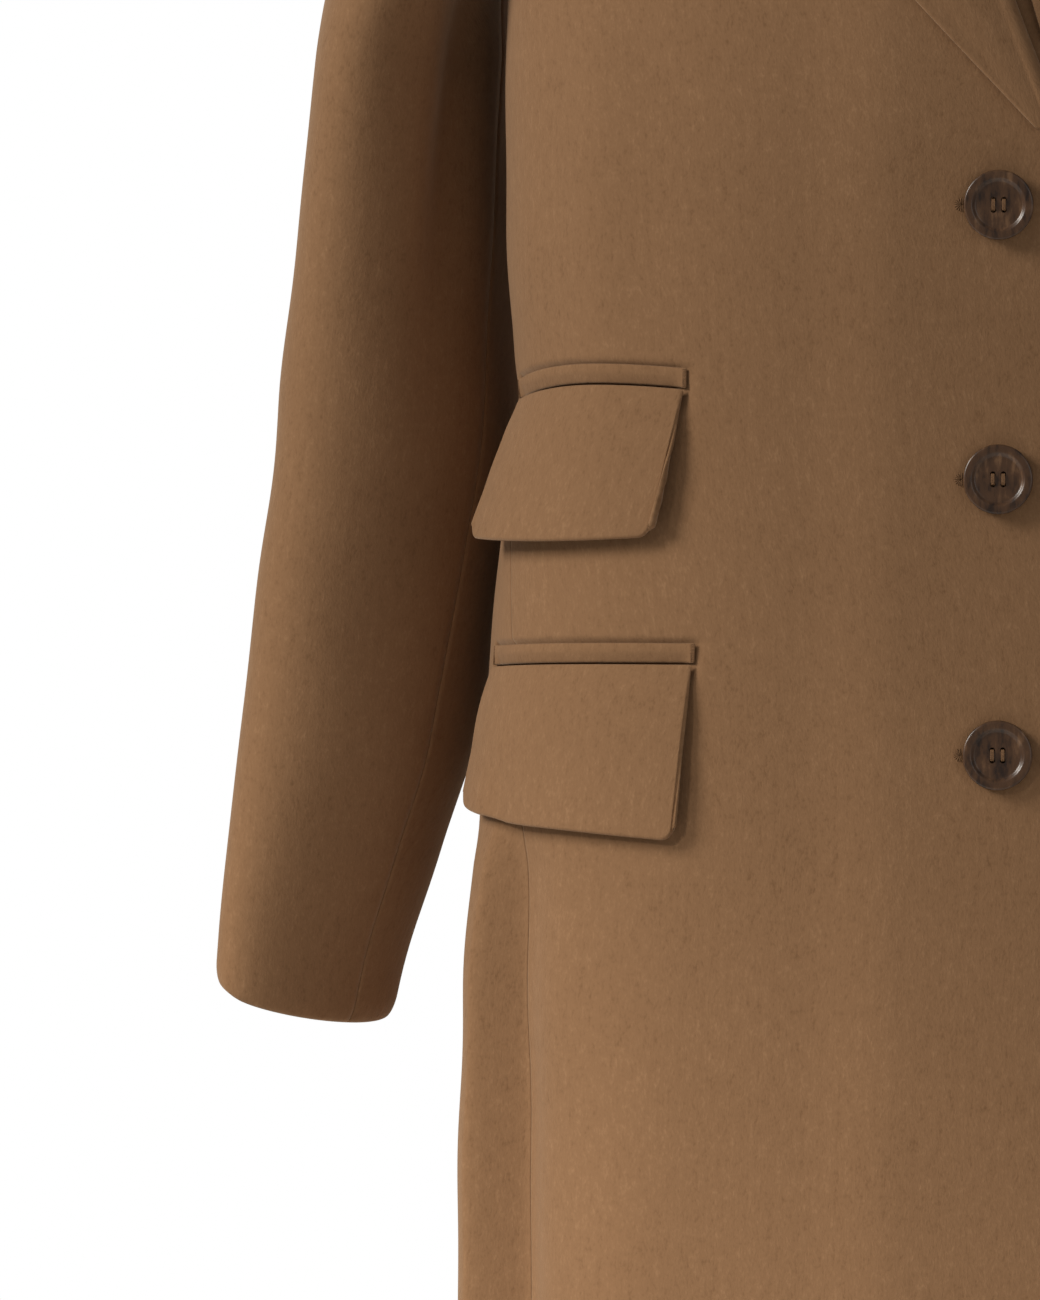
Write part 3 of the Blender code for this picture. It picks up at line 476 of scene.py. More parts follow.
def bare_point(side, angle, height):
    radius = ring_radius(angle, height) + fold_swell(side, angle, height)
    middle = body_at["middle"](height)
    forward = middle - radius * np.cos(angle)
    return np.stack((side * radius * np.sin(angle), forward, height + 0.0 * radius), -1)


def body_normal(side, angle, height):
    """The way the body faces, read from points close by."""
    along = bare_point(side, angle + LOOK_TURN, height) - bare_point(side, angle - LOOK_TURN, height)
    rise = bare_point(side, angle, height + LOOK_RISE) - bare_point(side, angle, height - LOOK_RISE)
    return unit(np.cross(along, rise) * lead(side))


def body_point(side, angle, height, lift=None):
    point = bare_point(side, angle, height)
    if lift is None:
        return point
    return point + body_normal(side, angle, height) * lead(lift)


def angle_at(out, height, depth_name="front_depth"):
    """Angle from the centre front, or centre back, where the body is this far out from the centre plane."""
    power = body_at["squareness"](height)
    share = np.minimum(np.abs(out) / body_at["half_width"](height), 1.0)
    depth = body_at[depth_name](height) * (1.0 - share**power) ** (1.0 / power)
    return np.copysign(np.arctan2(np.abs(out), depth), out)


def lap_lift(side, out, height):
    """The right front lies over the left one, so it stands off by one layer near the centre front."""
    if side == LEFT:
        return 0.0 * out
    across = ease((LAP_TO - out) / (LAP_TO - LAP_FROM))
    return (CLOTH + LAP_GAP) * across * ease((LAP_TOP - height) / LAP_FADE)


def front_point(side, out, height, lift):
    return body_point(side, angle_at(out, height), height, lift + lap_lift(side, out, height))


def front_edge(height):
    """The free edge of a front: the closing edge, the roll line above the break, then the neckline."""
    return mix(-FRONT_LAP, NECK_OUT, np.clip((height - BREAK) / (GORGE - BREAK), 0.0, 1.0))


def row_height(row, seam_top):
    """Height at a row of a panel whose side seam ends at the given height."""
    low = np.interp(row, (0, SKIRT_ROWS, SEAM_ROWS), (HEM, BREAK, FRONT_SEAM_TOP))
    low = HEM + (low - HEM) * (seam_top - HEM) / (FRONT_SEAM_TOP - HEM)
    part = np.clip((row - SEAM_ROWS) / ARM_ROWS, 0.0, 1.0)
    arm = mix(seam_top, SHOULDER_POINT, 1.0 - (1.0 - part) ** ARM_ROW_EASE)
    high = np.interp(row, (ARM_END, ARM_END + 1, PANEL_ROWS), (SHOULDER_POINT, GORGE, NECKLINE))
    return np.where(row <= SEAM_ROWS, low, np.where(row <= ARM_END, arm, high))


def seam_inset(height):
    return SEAM_GAP / 2.0 / body_at["half_width"](height)


def outer_angle(row, seam, armhole, shoulder):
    """The outer edge of a front or back: the side seam, the armhole and the shoulder seam."""
    low = mix(seam, armhole, ease(row - SEAM_ROWS))
    return np.where(row < ARM_END, low, shoulder)


def front_outer_angle(row):
    height = row_height(row, FRONT_SEAM_TOP)
    seam = np.radians(seam_at["front"](height)) - seam_inset(height)
    armhole = angle_at(armhole_at["front"](height), height)
    return outer_angle(row, seam, armhole, pi / 2.0 - seam_inset(height))


def back_outer_angle(row):
    height = row_height(row, BACK_SEAM_TOP)
    seam = np.radians(seam_at["back"](height)) + seam_inset(height)
    armhole = pi - angle_at(armhole_at["back"](height), height, "back_depth")
    return outer_angle(row, seam, armhole, pi / 2.0 + seam_inset(height))


def flap_ends(flap, past=0.0):
    """Angles of a flap's rear and front end, or of marks some distance past both."""
    past = past / body_at["front_depth"](flap.seam)
    return angle_at(flap.rear, flap.seam) + past, angle_at(flap.front, flap.seam) - past


def flap_seam(flap, part):
    """Height of the pocket seam; it rises toward the front and arches a little."""
    return flap.seam + flap.seam_rise * part + flap.arch * np.sin(pi * part)


def pocket_recess(side, angle, height):
    """How far the cloth is pressed in under the welts of the pockets."""
    depth = 0.0 * height
    for flap in FLAPS:
        if flap.side == side:
            rear, front = flap_ends(flap)
            above = height - flap_seam(flap, np.clip((rear - angle) / (rear - front), 0.0, 1.0))
            inward = np.minimum(rear - angle, angle - front) * CREASE_RADIUS
            below_top = ease((WELT_GAP + WELT_HEIGHT + RECESS_PAST - above) / RECESS_EDGE)
            sunk = RECESS_DEPTH * ease((inward + RECESS_PAST) / RECESS_EDGE) * below_top
            dip = WELT_DIP * ease(inward / DIP_EDGE) * (1.0 - ease((above - WELT_GAP) / DIP_EDGE))
            depth = depth - (sunk + dip) * ease(above / RECESS_BELOW + 1.0)
    return depth


def front_place(side):
    def place(u, v):
        row = v * PANEL_ROWS
        height = row_height(row, FRONT_SEAM_TOP)
        angle = mix(angle_at(front_edge(height), height), front_outer_angle(row), u)
        out = ring_radius(angle, height) * np.sin(angle)
        lift = lap_lift(side, out, height) + pocket_recess(side, angle, height)
        return body_point(side, angle, height, lift)

    return place


def side_marks(part, row):
    """Angle and height on the side panel: part runs from its front seam to its back seam."""
    top = mix(FRONT_SEAM_TOP, BACK_SEAM_TOP, part) - UNDERARM_DIP * 4.0 * part * (1.0 - part)
    height = row_height(row, top)
    front = np.radians(seam_at["front"](row_height(row, FRONT_SEAM_TOP))) + seam_inset(height)
    back = np.radians(seam_at["back"](row_height(row, BACK_SEAM_TOP))) - seam_inset(height)
    return mix(front, back, part), height


def side_place(side):
    def place(u, v):
        angle, height = side_marks(u, v * SEAM_ROWS)
        return body_point(side, angle, height, pocket_recess(side, angle, height))

    return place


def back_place(u, v):
    row = v * PANEL_ROWS
    outer = back_outer_angle(row)
    return body_point(LEFT, mix(outer, 2.0 * pi - outer, u), row_height(row, BACK_SEAM_TOP))


def armhole_curve(side):
    """Where the sleeve starts, just off the armhole edge, by the share of the way round from the underarm."""
    step = np.arange(LOOP_STEPS) / LOOP_STEPS
    full = np.full(LOOP_STEPS, float(SEAM_ROWS))
    up = SEAM_ROWS + ARM_ROWS * step
    down = ARM_END - ARM_ROWS * step
    stretches = (
        side_marks(0.5 - 0.5 * step, full),
        (front_outer_angle(up), row_height(up, FRONT_SEAM_TOP)),
        (back_outer_angle(down), row_height(down, BACK_SEAM_TOP)),
        side_marks(1.0 - 0.5 * step, full),
    )
    angle = np.concatenate([stretch[0] for stretch in stretches])
    height = np.concatenate([stretch[1] for stretch in stretches])
    points = body_point(side, angle, height)
    points = body_point(side, angle, height, uneven(points))
    run = np.roll(points, -1, axis=0) - np.roll(points, 1, axis=0)
    off = np.cross(body_normal(side, angle, height + ARMHOLE_LOOK_UP), unit(run)) * -side
    loop = points + unit(off) * ARMHOLE_GAP
    loop = np.concatenate((loop, loop[:1]))
    share = np.concatenate(((0.0,), np.cumsum(np.linalg.norm(np.diff(loop, axis=0), axis=-1))))
    share = share / share[-1]
    hind = (2.0 + (ARM_END - HIND_SEAM_ROW) / ARM_ROWS) * LOOP_STEPS
    forearm = (3.0 + 2.0 * (1.0 - FOREARM_SEAM_PART)) * LOOP_STEPS
    seams = tuple(float(np.interp(place, np.arange(len(share)), share)) for place in (hind, forearm))

    away = unit(np.concatenate((off, off[:1])))

    def at(wanted, marks=loop):
        wanted = np.mod(wanted, 1.0)
        return np.stack([np.interp(wanted, share, marks[:, axis]) for axis in range(3)], -1)

    def away_at(wanted):
        return unit(at(wanted, away))

    return at, away_at, seams


def sleeve_flow(side, angle, start):
    """The way the sleeve leaves the armhole."""
    under = (SHOULDER_POINT - start[..., 2]) / (SHOULDER_POINT - BACK_SEAM_TOP)
    slope = mix(-CAP_SLOPE, CAP_UNDER, under)
    return unit(np.stack((side + 0.0 * angle, -CAP_FORWARD * np.sin(angle), slope), -1))


def turning_place(side, armhole, away_at):
    """The turnings of an armhole seam, pressed open inside: one half under the body, one under the sleeve."""
    inset = SEAM_GAP / SLEEVE_GIRTH
    step = 1.0 / LOOP_STEPS

    def place(u, v):
        share = mix(inset, 1.0 - inset, u) + 0.0 * v
        start = armhole(share)
        run = unit(armhole(share + step) - armhole(share - step))
        away = away_at(share)
        away = unit(away - run * lead(np.sum(away * run, -1)))
        flow = sleeve_flow(side, 2.0 * pi * share, start)
        flow = unit(flow - run * lead(np.sum(flow * run, -1)))
        body_face = np.cross(away, run) * side
        sleeve_face = np.cross(flow, run) * side
        middle = unit(body_face + sleeve_face)
        depth = (CLOTH + TURNING_GAP) / np.sum(middle * body_face, -1)
        fold = start - middle * lead(depth)
        under_body = TURNING_BODY * np.maximum(1.0 - 2.0 * v, 0.0)
        under_sleeve = TURNING_SLEEVE * np.maximum(2.0 * v - 1.0, 0.0)
        return fold - away * lead(under_body) + flow * lead(under_sleeve)

    def relief(u, v, points):
        return -uneven(points)

    return place, relief


def sleeve_ring(side, angle, height):
    """A point of the sleeve tube; the angle runs from the inner side to the front, outside and back."""
    turn = np.radians(sleeve_at["turn"](height))
    along = sleeve_at["half_along"](height) * np.sin(angle)
    across = sleeve_at["half_across"](height) * np.cos(angle)
    out = along * np.sin(turn) - across * np.cos(turn)
    forward = along * np.cos(turn) + across * np.sin(turn)
    drop = out * np.tan(np.radians(sleeve_at["lean"](height))) - forward * tan(radians(CUFF_PITCH))
    middle = sleeve_at["out"](height)
    return np.stack((side * (middle + out), sleeve_at["back"](height) - forward, height + drop), -1)


def sleeve_place(side, armhole, first, last):
    top_height = SLEEVE[0].height
    cuff_height = SLEEVE[-1].height
    inset = SEAM_GAP / SLEEVE_GIRTH

    def share_at(u):
        return mix(first + inset, last - inset, u)

    def place(u, v):
        share = share_at(u)
        row = v * SLEEVE_ROWS
        angle = 2.0 * pi * share
        tube_part = np.clip((row - SLEEVE_CAP_ROWS) / SLEEVE_TUBE_ROWS, 0.0, 1.0)
        tube = sleeve_ring(side, angle, mix(top_height, cuff_height, tube_part))
        start = armhole(share)
        end = sleeve_ring(side, angle, top_height + 0.0 * angle)
        lower = sleeve_ring(side, angle, top_height - CAP_LOOK_DOWN + 0.0 * angle)
        reach = lead(np.linalg.norm(end - start, axis=-1) * CAP_FULLNESS)
        flow = sleeve_flow(side, angle, start)
        part = lead(np.clip(row / SLEEVE_CAP_ROWS, 0.0, 1.0))
        rest = 1.0 - part
        ends = start * (1.0 + 2.0 * part) * rest**2 + end * (3.0 - 2.0 * part) * part**2
        cap = ends + flow * reach * part * rest**2 - unit(lower - end) * reach * part**2 * rest
        return np.where(lead(row >= SLEEVE_CAP_ROWS), tube, cap)

    def relief(u, v, points):
        above_cuff = (1.0 - v) * SLEEVE_ROWS / SLEEVE_TUBE_ROWS * (top_height - cuff_height)
        rolled = np.clip(1.0 - above_cuff / CUFF_ROLL_HEIGHT, 0.0, 1.0)
        lift = CUFF_ROLL * (np.sqrt(1.0 - rolled**2) - 1.0)
        for crease in SLEEVE_CREASES:
            if crease.side == side:
                off = (share_at(u) - crease.share + 0.5) % 1.0 - 0.5
                lift = lift + crease_lift(crease, off * SLEEVE_GIRTH, points[..., 2] - crease.height)
        settled = ease(v / CAP_SETTLE)
        return lift * settled - uneven(points) * (1.0 - settled)

    return place, relief


def gorge_line(part, off):
    """The seam between lapel and collar, from the roll line to the notch, moved off toward the collar."""
    run = Vector((NOTCH_OUT - NECK_OUT, NOTCH_HEIGHT - GORGE)).normalized()
    return mix(NECK_OUT, NOTCH_OUT, part) - run.y * off, mix(GORGE, NOTCH_HEIGHT, part) + run.x * off


def lapel_place(side, roll_foot, edge_foot):
    """The turned-back part of a front; it wraps round the roll line and lies on the front."""
    laid = CLOTH + LAID_GAP
    # The wrap as seen along the roll line: distance from the front's edge, and lift off the front
    wrap_line = ((-laid, -CLOTH), (-laid - WRAP_BULGE, WRAP_RISE), (-WRAP_BACK, laid + WRAP_CREST),
                 (ROLL_TURN, laid))

    def outline(part, across):
        height = mix(roll_foot, GORGE, part)
        edge_part = mix(edge_foot, 1.0, part)
        tip = mix(-FRONT_LAP + LAPEL_FOOT, TIP_OUT, edge_part) + LAPEL_BELLY * np.sin(pi * edge_part)
        out = mix(front_edge(height) + ROLL_TURN, tip, across)
        level = mix(height, mix(BREAK, TIP_HEIGHT, edge_part), across)
        past = np.clip((across - NOTCH_COLUMN) / (1.0 - NOTCH_COLUMN), 0.0, 1.0)
        seam_out, seam_level = gorge_line(np.minimum(across / NOTCH_COLUMN, 1.0), -NOTCH_GAP / 2.0)
        near_top = ease((part - NOTCH_FROM) / (1.0 - NOTCH_FROM))
        out = out + (mix(seam_out, TIP_OUT, past) - mix(NECK_OUT, TIP_OUT, across)) * near_top
        level = level + (mix(seam_level, TIP_HEIGHT, past) - mix(GORGE, TIP_HEIGHT, across)) * near_top
        return out, level

    def place(u, v):
        part = 1.0 - (1.0 - v) ** LAPEL_ROW_EASE
        wrap = np.clip(u / ROLL_WRAP, 0.0, 1.0)
        across = np.clip((u - ROLL_WRAP) / (1.0 - ROLL_WRAP), 0.0, 1.0)
        out, level = outline(part, across)
        rest = 1.0 - wrap
        shares = (rest**3, 3.0 * rest**2 * wrap, 3.0 * rest * wrap**2, wrap**3)
        out = out - ROLL_TURN + sum(mark[0] * share for mark, share in zip(wrap_line, shares))
        lift = sum(mark[1] * share for mark, share in zip(wrap_line, shares))
        swell = ROLL_LIFT * np.sin(pi * np.minimum(across / ROLL_SWELL_REACH, 1.0)) * part
        edge_lift = ROLL_EDGE_LIFT * wrap * (1.0 - ease(across / ROLL_EDGE_REACH))
        return front_point(side, out, level, lift + swell + edge_lift)

    return place


def collar_marks(part):
    """Neck edge, outer edge and stand of the collar; part runs from the centre back to the notch."""
    place = np.minimum(part / COLLAR_NECK_PART, 1.0) * COLLAR[-1].place
    neck = np.radians(collar_at["neck_angle"](place)), collar_at["neck_height"](place)
    edge = np.radians(collar_at["edge_angle"](place)), collar_at["edge_height"](place)
    along = np.clip((part - COLLAR_NECK_PART) / (1.0 - COLLAR_NECK_PART), 0.0, 1.0)
    seam = gorge_line(along, NOTCH_GAP)
    first = gorge_line(0.0, NOTCH_GAP)
    meet = ease(along * COLLAR_MEET_RATE)
    out = mix(np.sin(neck[0]) * ring_radius(*neck) + seam[0] - first[0], seam[0], meet)
    height = mix(neck[1] + seam[1] - first[1], seam[1], meet)
    edge_out = mix(np.sin(edge[0]) * ring_radius(*edge), COLLAR_POINT_OUT, along)
    edge_height = mix(edge[1], COLLAR_POINT_HEIGHT, along)
    past = part > COLLAR_NECK_PART
    neck = np.where(past, angle_at(out, height), neck[0]), np.where(past, height, neck[1])
    edge = np.where(past, angle_at(edge_out, edge_height), edge[0]), np.where(past, edge_height, edge[1])
    return neck, edge, collar_at["stand"](place) * (1.0 - ease(along))


def collar_place(u, v):
    side = np.where(u < 0.5, RIGHT, LEFT)
    neck, edge, stand = collar_marks(np.abs(2.0 * u - 1.0))
    flat = stand / COLLAR[0].stand
    laid = CLOTH + COLLAR_GAP
    standing_part = ease(flat / COLLAR_STAND_FADE)
    turned = lead(ease(flat / COLLAR_TURN_FADE))
    foot = body_point(side, *neck, mix(laid, COLLAR_FOOT_LIFT, standing_part))
    end = body_point(side, *edge, laid + 0.0 * flat)
    away = unit((end - foot) * (1.0, 1.0, 0.0))
    standing = foot + unit(UP + away * COLLAR_LEAN) * lead(stand)
    early = tuple(mix(neck[index], edge[index], COLLAR_TURN_SHARE) for index in (0, 1))
    crest = mix(body_point(side, *early, laid + 0.0 * flat), standing, lead(standing_part))
    middle = tuple(mix(neck[index], edge[index], COLLAR_NEAR) for index in (0, 1))
    near = body_point(side, *middle, laid + COLLAR_SWELL * ease(flat / COLLAR_SWELL_FADE))
    above = mix(mix(crest, end, COLLAR_LYING[0]), crest + UP * COLLAR_ROLL, turned)
    rolled = crest + (UP + away * COLLAR_ROLL_OVER) * COLLAR_ROLL
    beyond = mix(mix(crest, end, COLLAR_LYING[1]), rolled, turned)
    stood = mix(foot, crest, lead(np.clip(v / COLLAR_STAND_PART, 0.0, 1.0)))
    fall = np.clip((v - COLLAR_STAND_PART) / (1.0 - COLLAR_STAND_PART), 0.0, 1.0)
    part = lead(fall**COLLAR_COLUMN_EASE)
    rest = 1.0 - part
    fallen = (crest * rest**4 + above * 4.0 * rest**3 * part + beyond * 6.0 * rest**2 * part**2
              + near * 4.0 * rest * part**3 + end * part**4)
    return np.where(lead(v <= COLLAR_STAND_PART), stood, fallen)


def flap_place(flap):
    """A pocket flap: u runs from its rear to its front end, v from its lower edge up to the seam."""
    rear, front = flap_ends(flap)
    length = np.linalg.norm(body_point(flap.side, rear, flap.seam) - body_point(flap.side, front, flap.seam))

    def place(u, v):
        down = 1.0 - v
        eased = mix(u, ease(u), FLAP_COLUMN_EASE)
        cut = np.maximum(FLAP_CORNER - np.minimum(eased, 1.0 - eased) * length, 0.0)
        rounding = FLAP_CORNER - np.sqrt(np.maximum(FLAP_CORNER**2 - cut**2, 0.0))
        belly = flap.belly * np.sin(pi * eased)
        depth = mix(flap.depth_rear, flap.depth_front, eased**FLAP_DEPTH_EASE) + belly - rounding
        sweep = mix(flap.sweep_rear, flap.sweep_front, eased) / body_at["front_depth"](flap.seam)
        angle = mix(rear, front, eased) + sweep * down
        flare = mix(flap.flare_rear, flap.flare_front, eased) * down**FLAP_FLARE_EASE
        lift = LAID_GAP + flare + FLAP_CLOTH * flap_taper(u, v) - FLAP_SINK * (1.0 - flap_rise(v))
        return body_point(flap.side, angle, flap_seam(flap, eased) - depth * down, lift)

    return place


def flap_rise(v):
    """How far a flap has come out of the seam to its full thickness."""
    rise = np.minimum((1.0 - v) / FLAP_FULL_AT, 1.0)
    return rise * (2.0 - rise)


def flap_taper(u, v):
    """Share of a flap's full thickness; it thins toward the seam where one layer is sewn in."""
    return mix(FLAP_SEAM_CLOTH / FLAP_CLOTH, 1.0, flap_rise(v)) + 0.0 * u


def welt_lift(inward, v):
    """A welt lies flat at its top and ends, and dips into the pocket seam along its foot."""
    dip = WELT_DIP * ease(inward / DIP_EDGE) * (1.0 - ease(v / WELT_DIP_SHARE))
    return mix(WELT_END_LIFT, WELT_LIFT, ease(inward / WELT_END)) - dip


def welt_place(flap):
    rear, front = flap_ends(flap, WELT_PAST_FLAP)

    def inward(u):
        return np.minimum(u, 1.0 - u) * (rear - front) * CREASE_RADIUS

    def place(u, v):
        height = flap_seam(flap, u) + WELT_GAP + WELT_HEIGHT * v
        return body_point(flap.side, mix(rear, front, u), height, welt_lift(inward(u), v))

    def taper(u, v):
        """Share of the welt's full thickness; its ends are pressed thin."""
        return mix(WELT_END_CLOTH / WELT_CLOTH, 1.0, ease(inward(u) / WELT_END)) + 0.0 * v

    return place, taper


def uneven(points):
    """The slight waviness of steamed cloth, the same for pieces that meet or lie on each other."""
    x, y, z = points[..., 0], points[..., 1], points[..., 2]

    def wave(along_x, along_y, along_z, start):
        return np.sin(along_x * x + along_y * y + along_z * z + start)

    return UNEVEN * sum(row.share * wave(*row.first) * wave(*row.second) for row in WAVES)


def spread(marks, steps, first, last):
    """Grid lines from 0 to 1 through the marks, with close lines where both ends are rounded."""
    turn = 1.0 - np.cos(np.linspace(0.0, pi / 2.0, ROUND_STEPS + 1))
    first = lead(np.minimum(first, ROUND_MOST * marks[1]))
    last = lead(np.minimum(last, ROUND_MOST * (1.0 - marks[-2])))
    bands = [first * turn[:-1]]
    for index, count in enumerate(steps):
        low = marks[index] if index else first
        high = marks[index + 1] if index + 1 < len(steps) else 1.0 - last
        part = np.linspace(0.0, 1.0, count + 1)[(1 if index else 0):]
        bands.append(low + (high - low) * part + 0.0 * first)
    bands.append(1.0 - last * turn[-2::-1])
    return np.concatenate(bands, axis=-1)


def run_along(points, axis):
    """Direction of the grid lines at every point."""
    points = np.moveaxis(points, axis, 0)
    step = np.diff(points, axis=0)
    gap = np.maximum(np.linalg.norm(step, axis=-1, keepdims=True), LEAST_STEP)
    way = step / gap
    run = np.empty_like(points)
    run[0] = way[0]
    run[-1] = way[-1]
    run[1:-1] = way[:-1] * gap[1:] + way[1:] * gap[:-1]
    return np.moveaxis(unit(run), 0, axis)


def rounding(count):
    """How far short of the full rounding each grid line is, from both ends, as a share of the rounding."""
    step = np.minimum(np.arange(count), np.arange(count)[::-1])
    return np.cos(np.minimum(step / ROUND_STEPS, 1.0) * pi / 2.0)


def lengths_along(points, axis):
    """Distance along the grid lines, measured from the middle line."""
    step = np.linalg.norm(np.diff(points, axis=axis), axis=-1)
    start = np.zeros_like(np.take(step, [0], axis=axis))
    total = np.concatenate((start, np.cumsum(step, axis=axis)), axis=axis)
    middle = np.take(total, [total.shape[axis] // 2], axis=axis)
    return total - middle


def add_object(name, data):
    item = bpy.data.objects.new(name, data)
    bpy.context.scene.collection.objects.link(item)
    return item


def shell(name, place, across, along, thickness, facing, sewn="", relief=None, taper=None):
    """One cut piece with its flat size: two layers that meet in rounded edges, tighter at the sewn ones."""
    reach = {edge: thickness / 2.0 * (SEWN_ROUNDING if edge in sewn else 1.0) for edge in "lrbt"}
    u = spread(*across, 0.0, 0.0)
    v = spread(*along, 0.0, 0.0)

    def speed(start, end):
        return np.linalg.norm(place(*end) - place(*start), axis=-1) / LOOK_PART

    zero_u, zero_v = 0.0 * u, 0.0 * v
    left = speed((zero_v, v), (zero_v + LOOK_PART, v))
    right = speed((zero_v + 1.0 - LOOK_PART, v), (zero_v + 1.0, v))
    low = speed((u, zero_u), (u, zero_u + LOOK_PART))
    high = speed((u, zero_u + 1.0 - LOOK_PART), (u, zero_u + 1.0))
    grid_u = spread(*across, reach["l"] / left, reach["r"] / right).T
    grid_v = spread(*along, reach["b"] / low, reach["t"] / high)
    points = place(grid_u, grid_v)
    wide, tall = points.shape[:2]
    normal = unit(np.cross(run_along(points, 0), run_along(points, 1))) * facing
    lift = uneven(points)
    if relief:
        lift = lift + relief(grid_u, grid_v, points)
    thick = thickness * taper(grid_u, grid_v) if taper else thickness
    short = rounding(wide)[:, None] ** 2 + rounding(tall)[None, :] ** 2
    drop = thick / 2.0 * (1.0 - np.sqrt(np.maximum(1.0 - short, 0.0)))
    outer = points + normal * lead(lift - drop)
    under = points + normal * lead(lift - thick + drop)

    top = np.arange(wide * tall).reshape(wide, tall)
    bottom = top.copy()
    bottom[1:-1, 1:-1] = wide * tall + np.arange((wide - 2) * (tall - 2)).reshape(wide - 2, tall - 2)
    corners = np.concatenate((outer.reshape(-1, 3), under[1:-1, 1:-1].reshape(-1, 3)))

    def faces_of(index):
        return np.stack((index[:-1, :-1], index[1:, :-1], index[1:, 1:], index[:-1, 1:]), -1).reshape(-1, 4)

    faces = np.concatenate((faces_of(top)[:, ::facing], faces_of(bottom)[:, ::-facing]))
    mesh = bpy.data.meshes.new(name)
    mesh.from_pydata(corners.tolist(), [], faces.tolist())
    mesh.polygons.foreach_set("use_smooth", np.ones(len(mesh.polygons), dtype=bool))
    grain = np.stack((lengths_along(points, 0), lengths_along(points, 1), 0.0 * drop), -1)
    deep = grain[1:-1, 1:-1] + (0.0, 0.0, thickness)
    layer = mesh.attributes.new("grain", "FLOAT_VECTOR", "POINT")
    layer.data.foreach_set("vector", np.concatenate((grain.reshape(-1, 3), deep.reshape(-1, 3))).ravel())
    mesh.materials.append(wool)
    piece = add_object(name, mesh)

    first = np.cross(points[1:, :-1] - points[:-1, :-1], points[:-1, 1:] - points[:-1, :-1])
    second = np.cross(points[:-1, 1:] - points[1:, 1:], points[1:, :-1] - points[1:, 1:])
    area = (np.linalg.norm(first, axis=-1).sum() + np.linalg.norm(second, axis=-1).sum()) / 2.0
    size = np.ptp(grain[..., 0], axis=0).max(), np.ptp(grain[..., 1], axis=1).max()
    return piece, size, area


def lay(cut_piece, node=""):
    """Hang a cut piece from the root body and hide the solid that it stands for."""
    piece, size, area = cut_piece
    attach(piece, "root")
    if node:
        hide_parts(node)


def sew(node, place, across, along, thickness, facing, sewn="", relief=None, taper=None):
    """Make the cloth for one solid."""
    cut_piece = shell(node + "_cloth", place, across, along, thickness, facing, sewn, relief, taper)
    lay(cut_piece, node)


def node_of(tree, kind, **values):
    """A node with its named properties set."""
    node = tree.nodes.new(kind)
    for name, value in values.items():
        setattr(node, name, value)
    return node


def set_inputs(node, **values):
    """Set the named inputs of a node; an underscore stands for a space in the name."""
    for name, value in values.items():
        node.inputs[name.replace("_", " ")].default_value = value


def noise_of(tree, vector, scale, detail, roughness):
    noise = node_of(tree, "ShaderNodeTexNoise")
    set_inputs(noise, Scale=scale, Detail=detail, Roughness=roughness)
    tree.links.new(vector, noise.inputs["Vector"])
    return noise.outputs["Fac"]


def sum_of(tree, *weighted):
    """Weighted sum of several values."""
    total = None
    for value, weight in weighted:
        step = node_of(tree, "ShaderNodeMath", operation="MULTIPLY_ADD")
        tree.links.new(value, step.inputs[0])
        step.inputs[1].default_value = weight
        step.inputs[2].default_value = 0.0
        if total is not None:
            tree.links.new(total, step.inputs[2])
        total = step.outputs[0]
    return total


def stretched(tree, vector, scale):
    mapping = node_of(tree, "ShaderNodeMapping")
    mapping.inputs["Scale"].default_value = scale
    tree.links.new(vector, mapping.inputs["Vector"])
    return mapping.outputs["Vector"]


def tones(tree, value, *stops):
    ramp = node_of(tree, "ShaderNodeValToRGB")
    ramp.color_ramp.interpolation = "EASE"
    points = ramp.color_ramp.elements
    while len(points) < len(stops):
        points.new(0.5)
    for point, (place, colour) in zip(points, stops):
        point.position = place
        point.color = (*colour, 1.0)
    tree.links.new(value, ramp.inputs["Fac"])
    return ramp.outputs["Color"]


def new_finish(name):
    material = bpy.data.materials.new(name)
    material.use_nodes = True
    return material, material.node_tree, material.node_tree.nodes["Principled BSDF"]


def complete(tree, shader, blend, stops, height, bump, **surface):
    """Colour from a blend of values, fine relief from a height, and the settings of the surface."""
    tree.links.new(tones(tree, blend, *stops), shader.inputs["Base Color"])
    relief = node_of(tree, "ShaderNodeBump")
    set_inputs(relief, Strength=bump[0], Distance=bump[1])
    tree.links.new(height, relief.inputs["Height"])
    tree.links.new(relief.outputs["Normal"], shader.inputs["Normal"])
    set_inputs(shader, **surface)


# Finishes: tones by the value of the blend, noises by scale, detail and roughness, the shares of the noises
# in a blend, strength and depth of bumps, and the surface
WOOL_TONES = ((0.32, (0.196, 0.102, 0.048)), (0.5, (0.258, 0.140, 0.069)), (0.68, (0.322, 0.180, 0.092)))
WOOL_FIBRES, WOOL_TUFTS = (900.0, 3.0, 0.65), (260.0, 3.0, 0.6)
WOOL_CLOUDS, WOOL_YARNS = (16.0, 2.0, 0.5), (420.0, 2.0, 0.5)
NAP_RUN, YARN_RUN = (1.0, 0.50, 1.0), (1.0, 0.06, 1.0)
WOOL_MIX, NAP_MIX = (0.42, 0.34, 0.10, 0.14), (0.55, 0.45)
WOOL_BUMP = (0.55, 0.0007)
WOOL_SURFACE = dict(Roughness=0.95, Specular_IOR_Level=0.12, Sheen_Weight=0.30, Sheen_Roughness=0.45,
                    Sheen_Tint=(1.0, 0.80, 0.60, 1.0))
HORN_TONES = ((0.34, (0.022, 0.010, 0.005)), (0.52, (0.080, 0.037, 0.016)), (0.70, (0.190, 0.098, 0.046)))
HORN_STREAKS, HORN_CLOUDS, STREAK_RUN = (420.0, 4.0, 0.6), (130.0, 2.0, 0.5), (1.0, 1.0, 0.28)
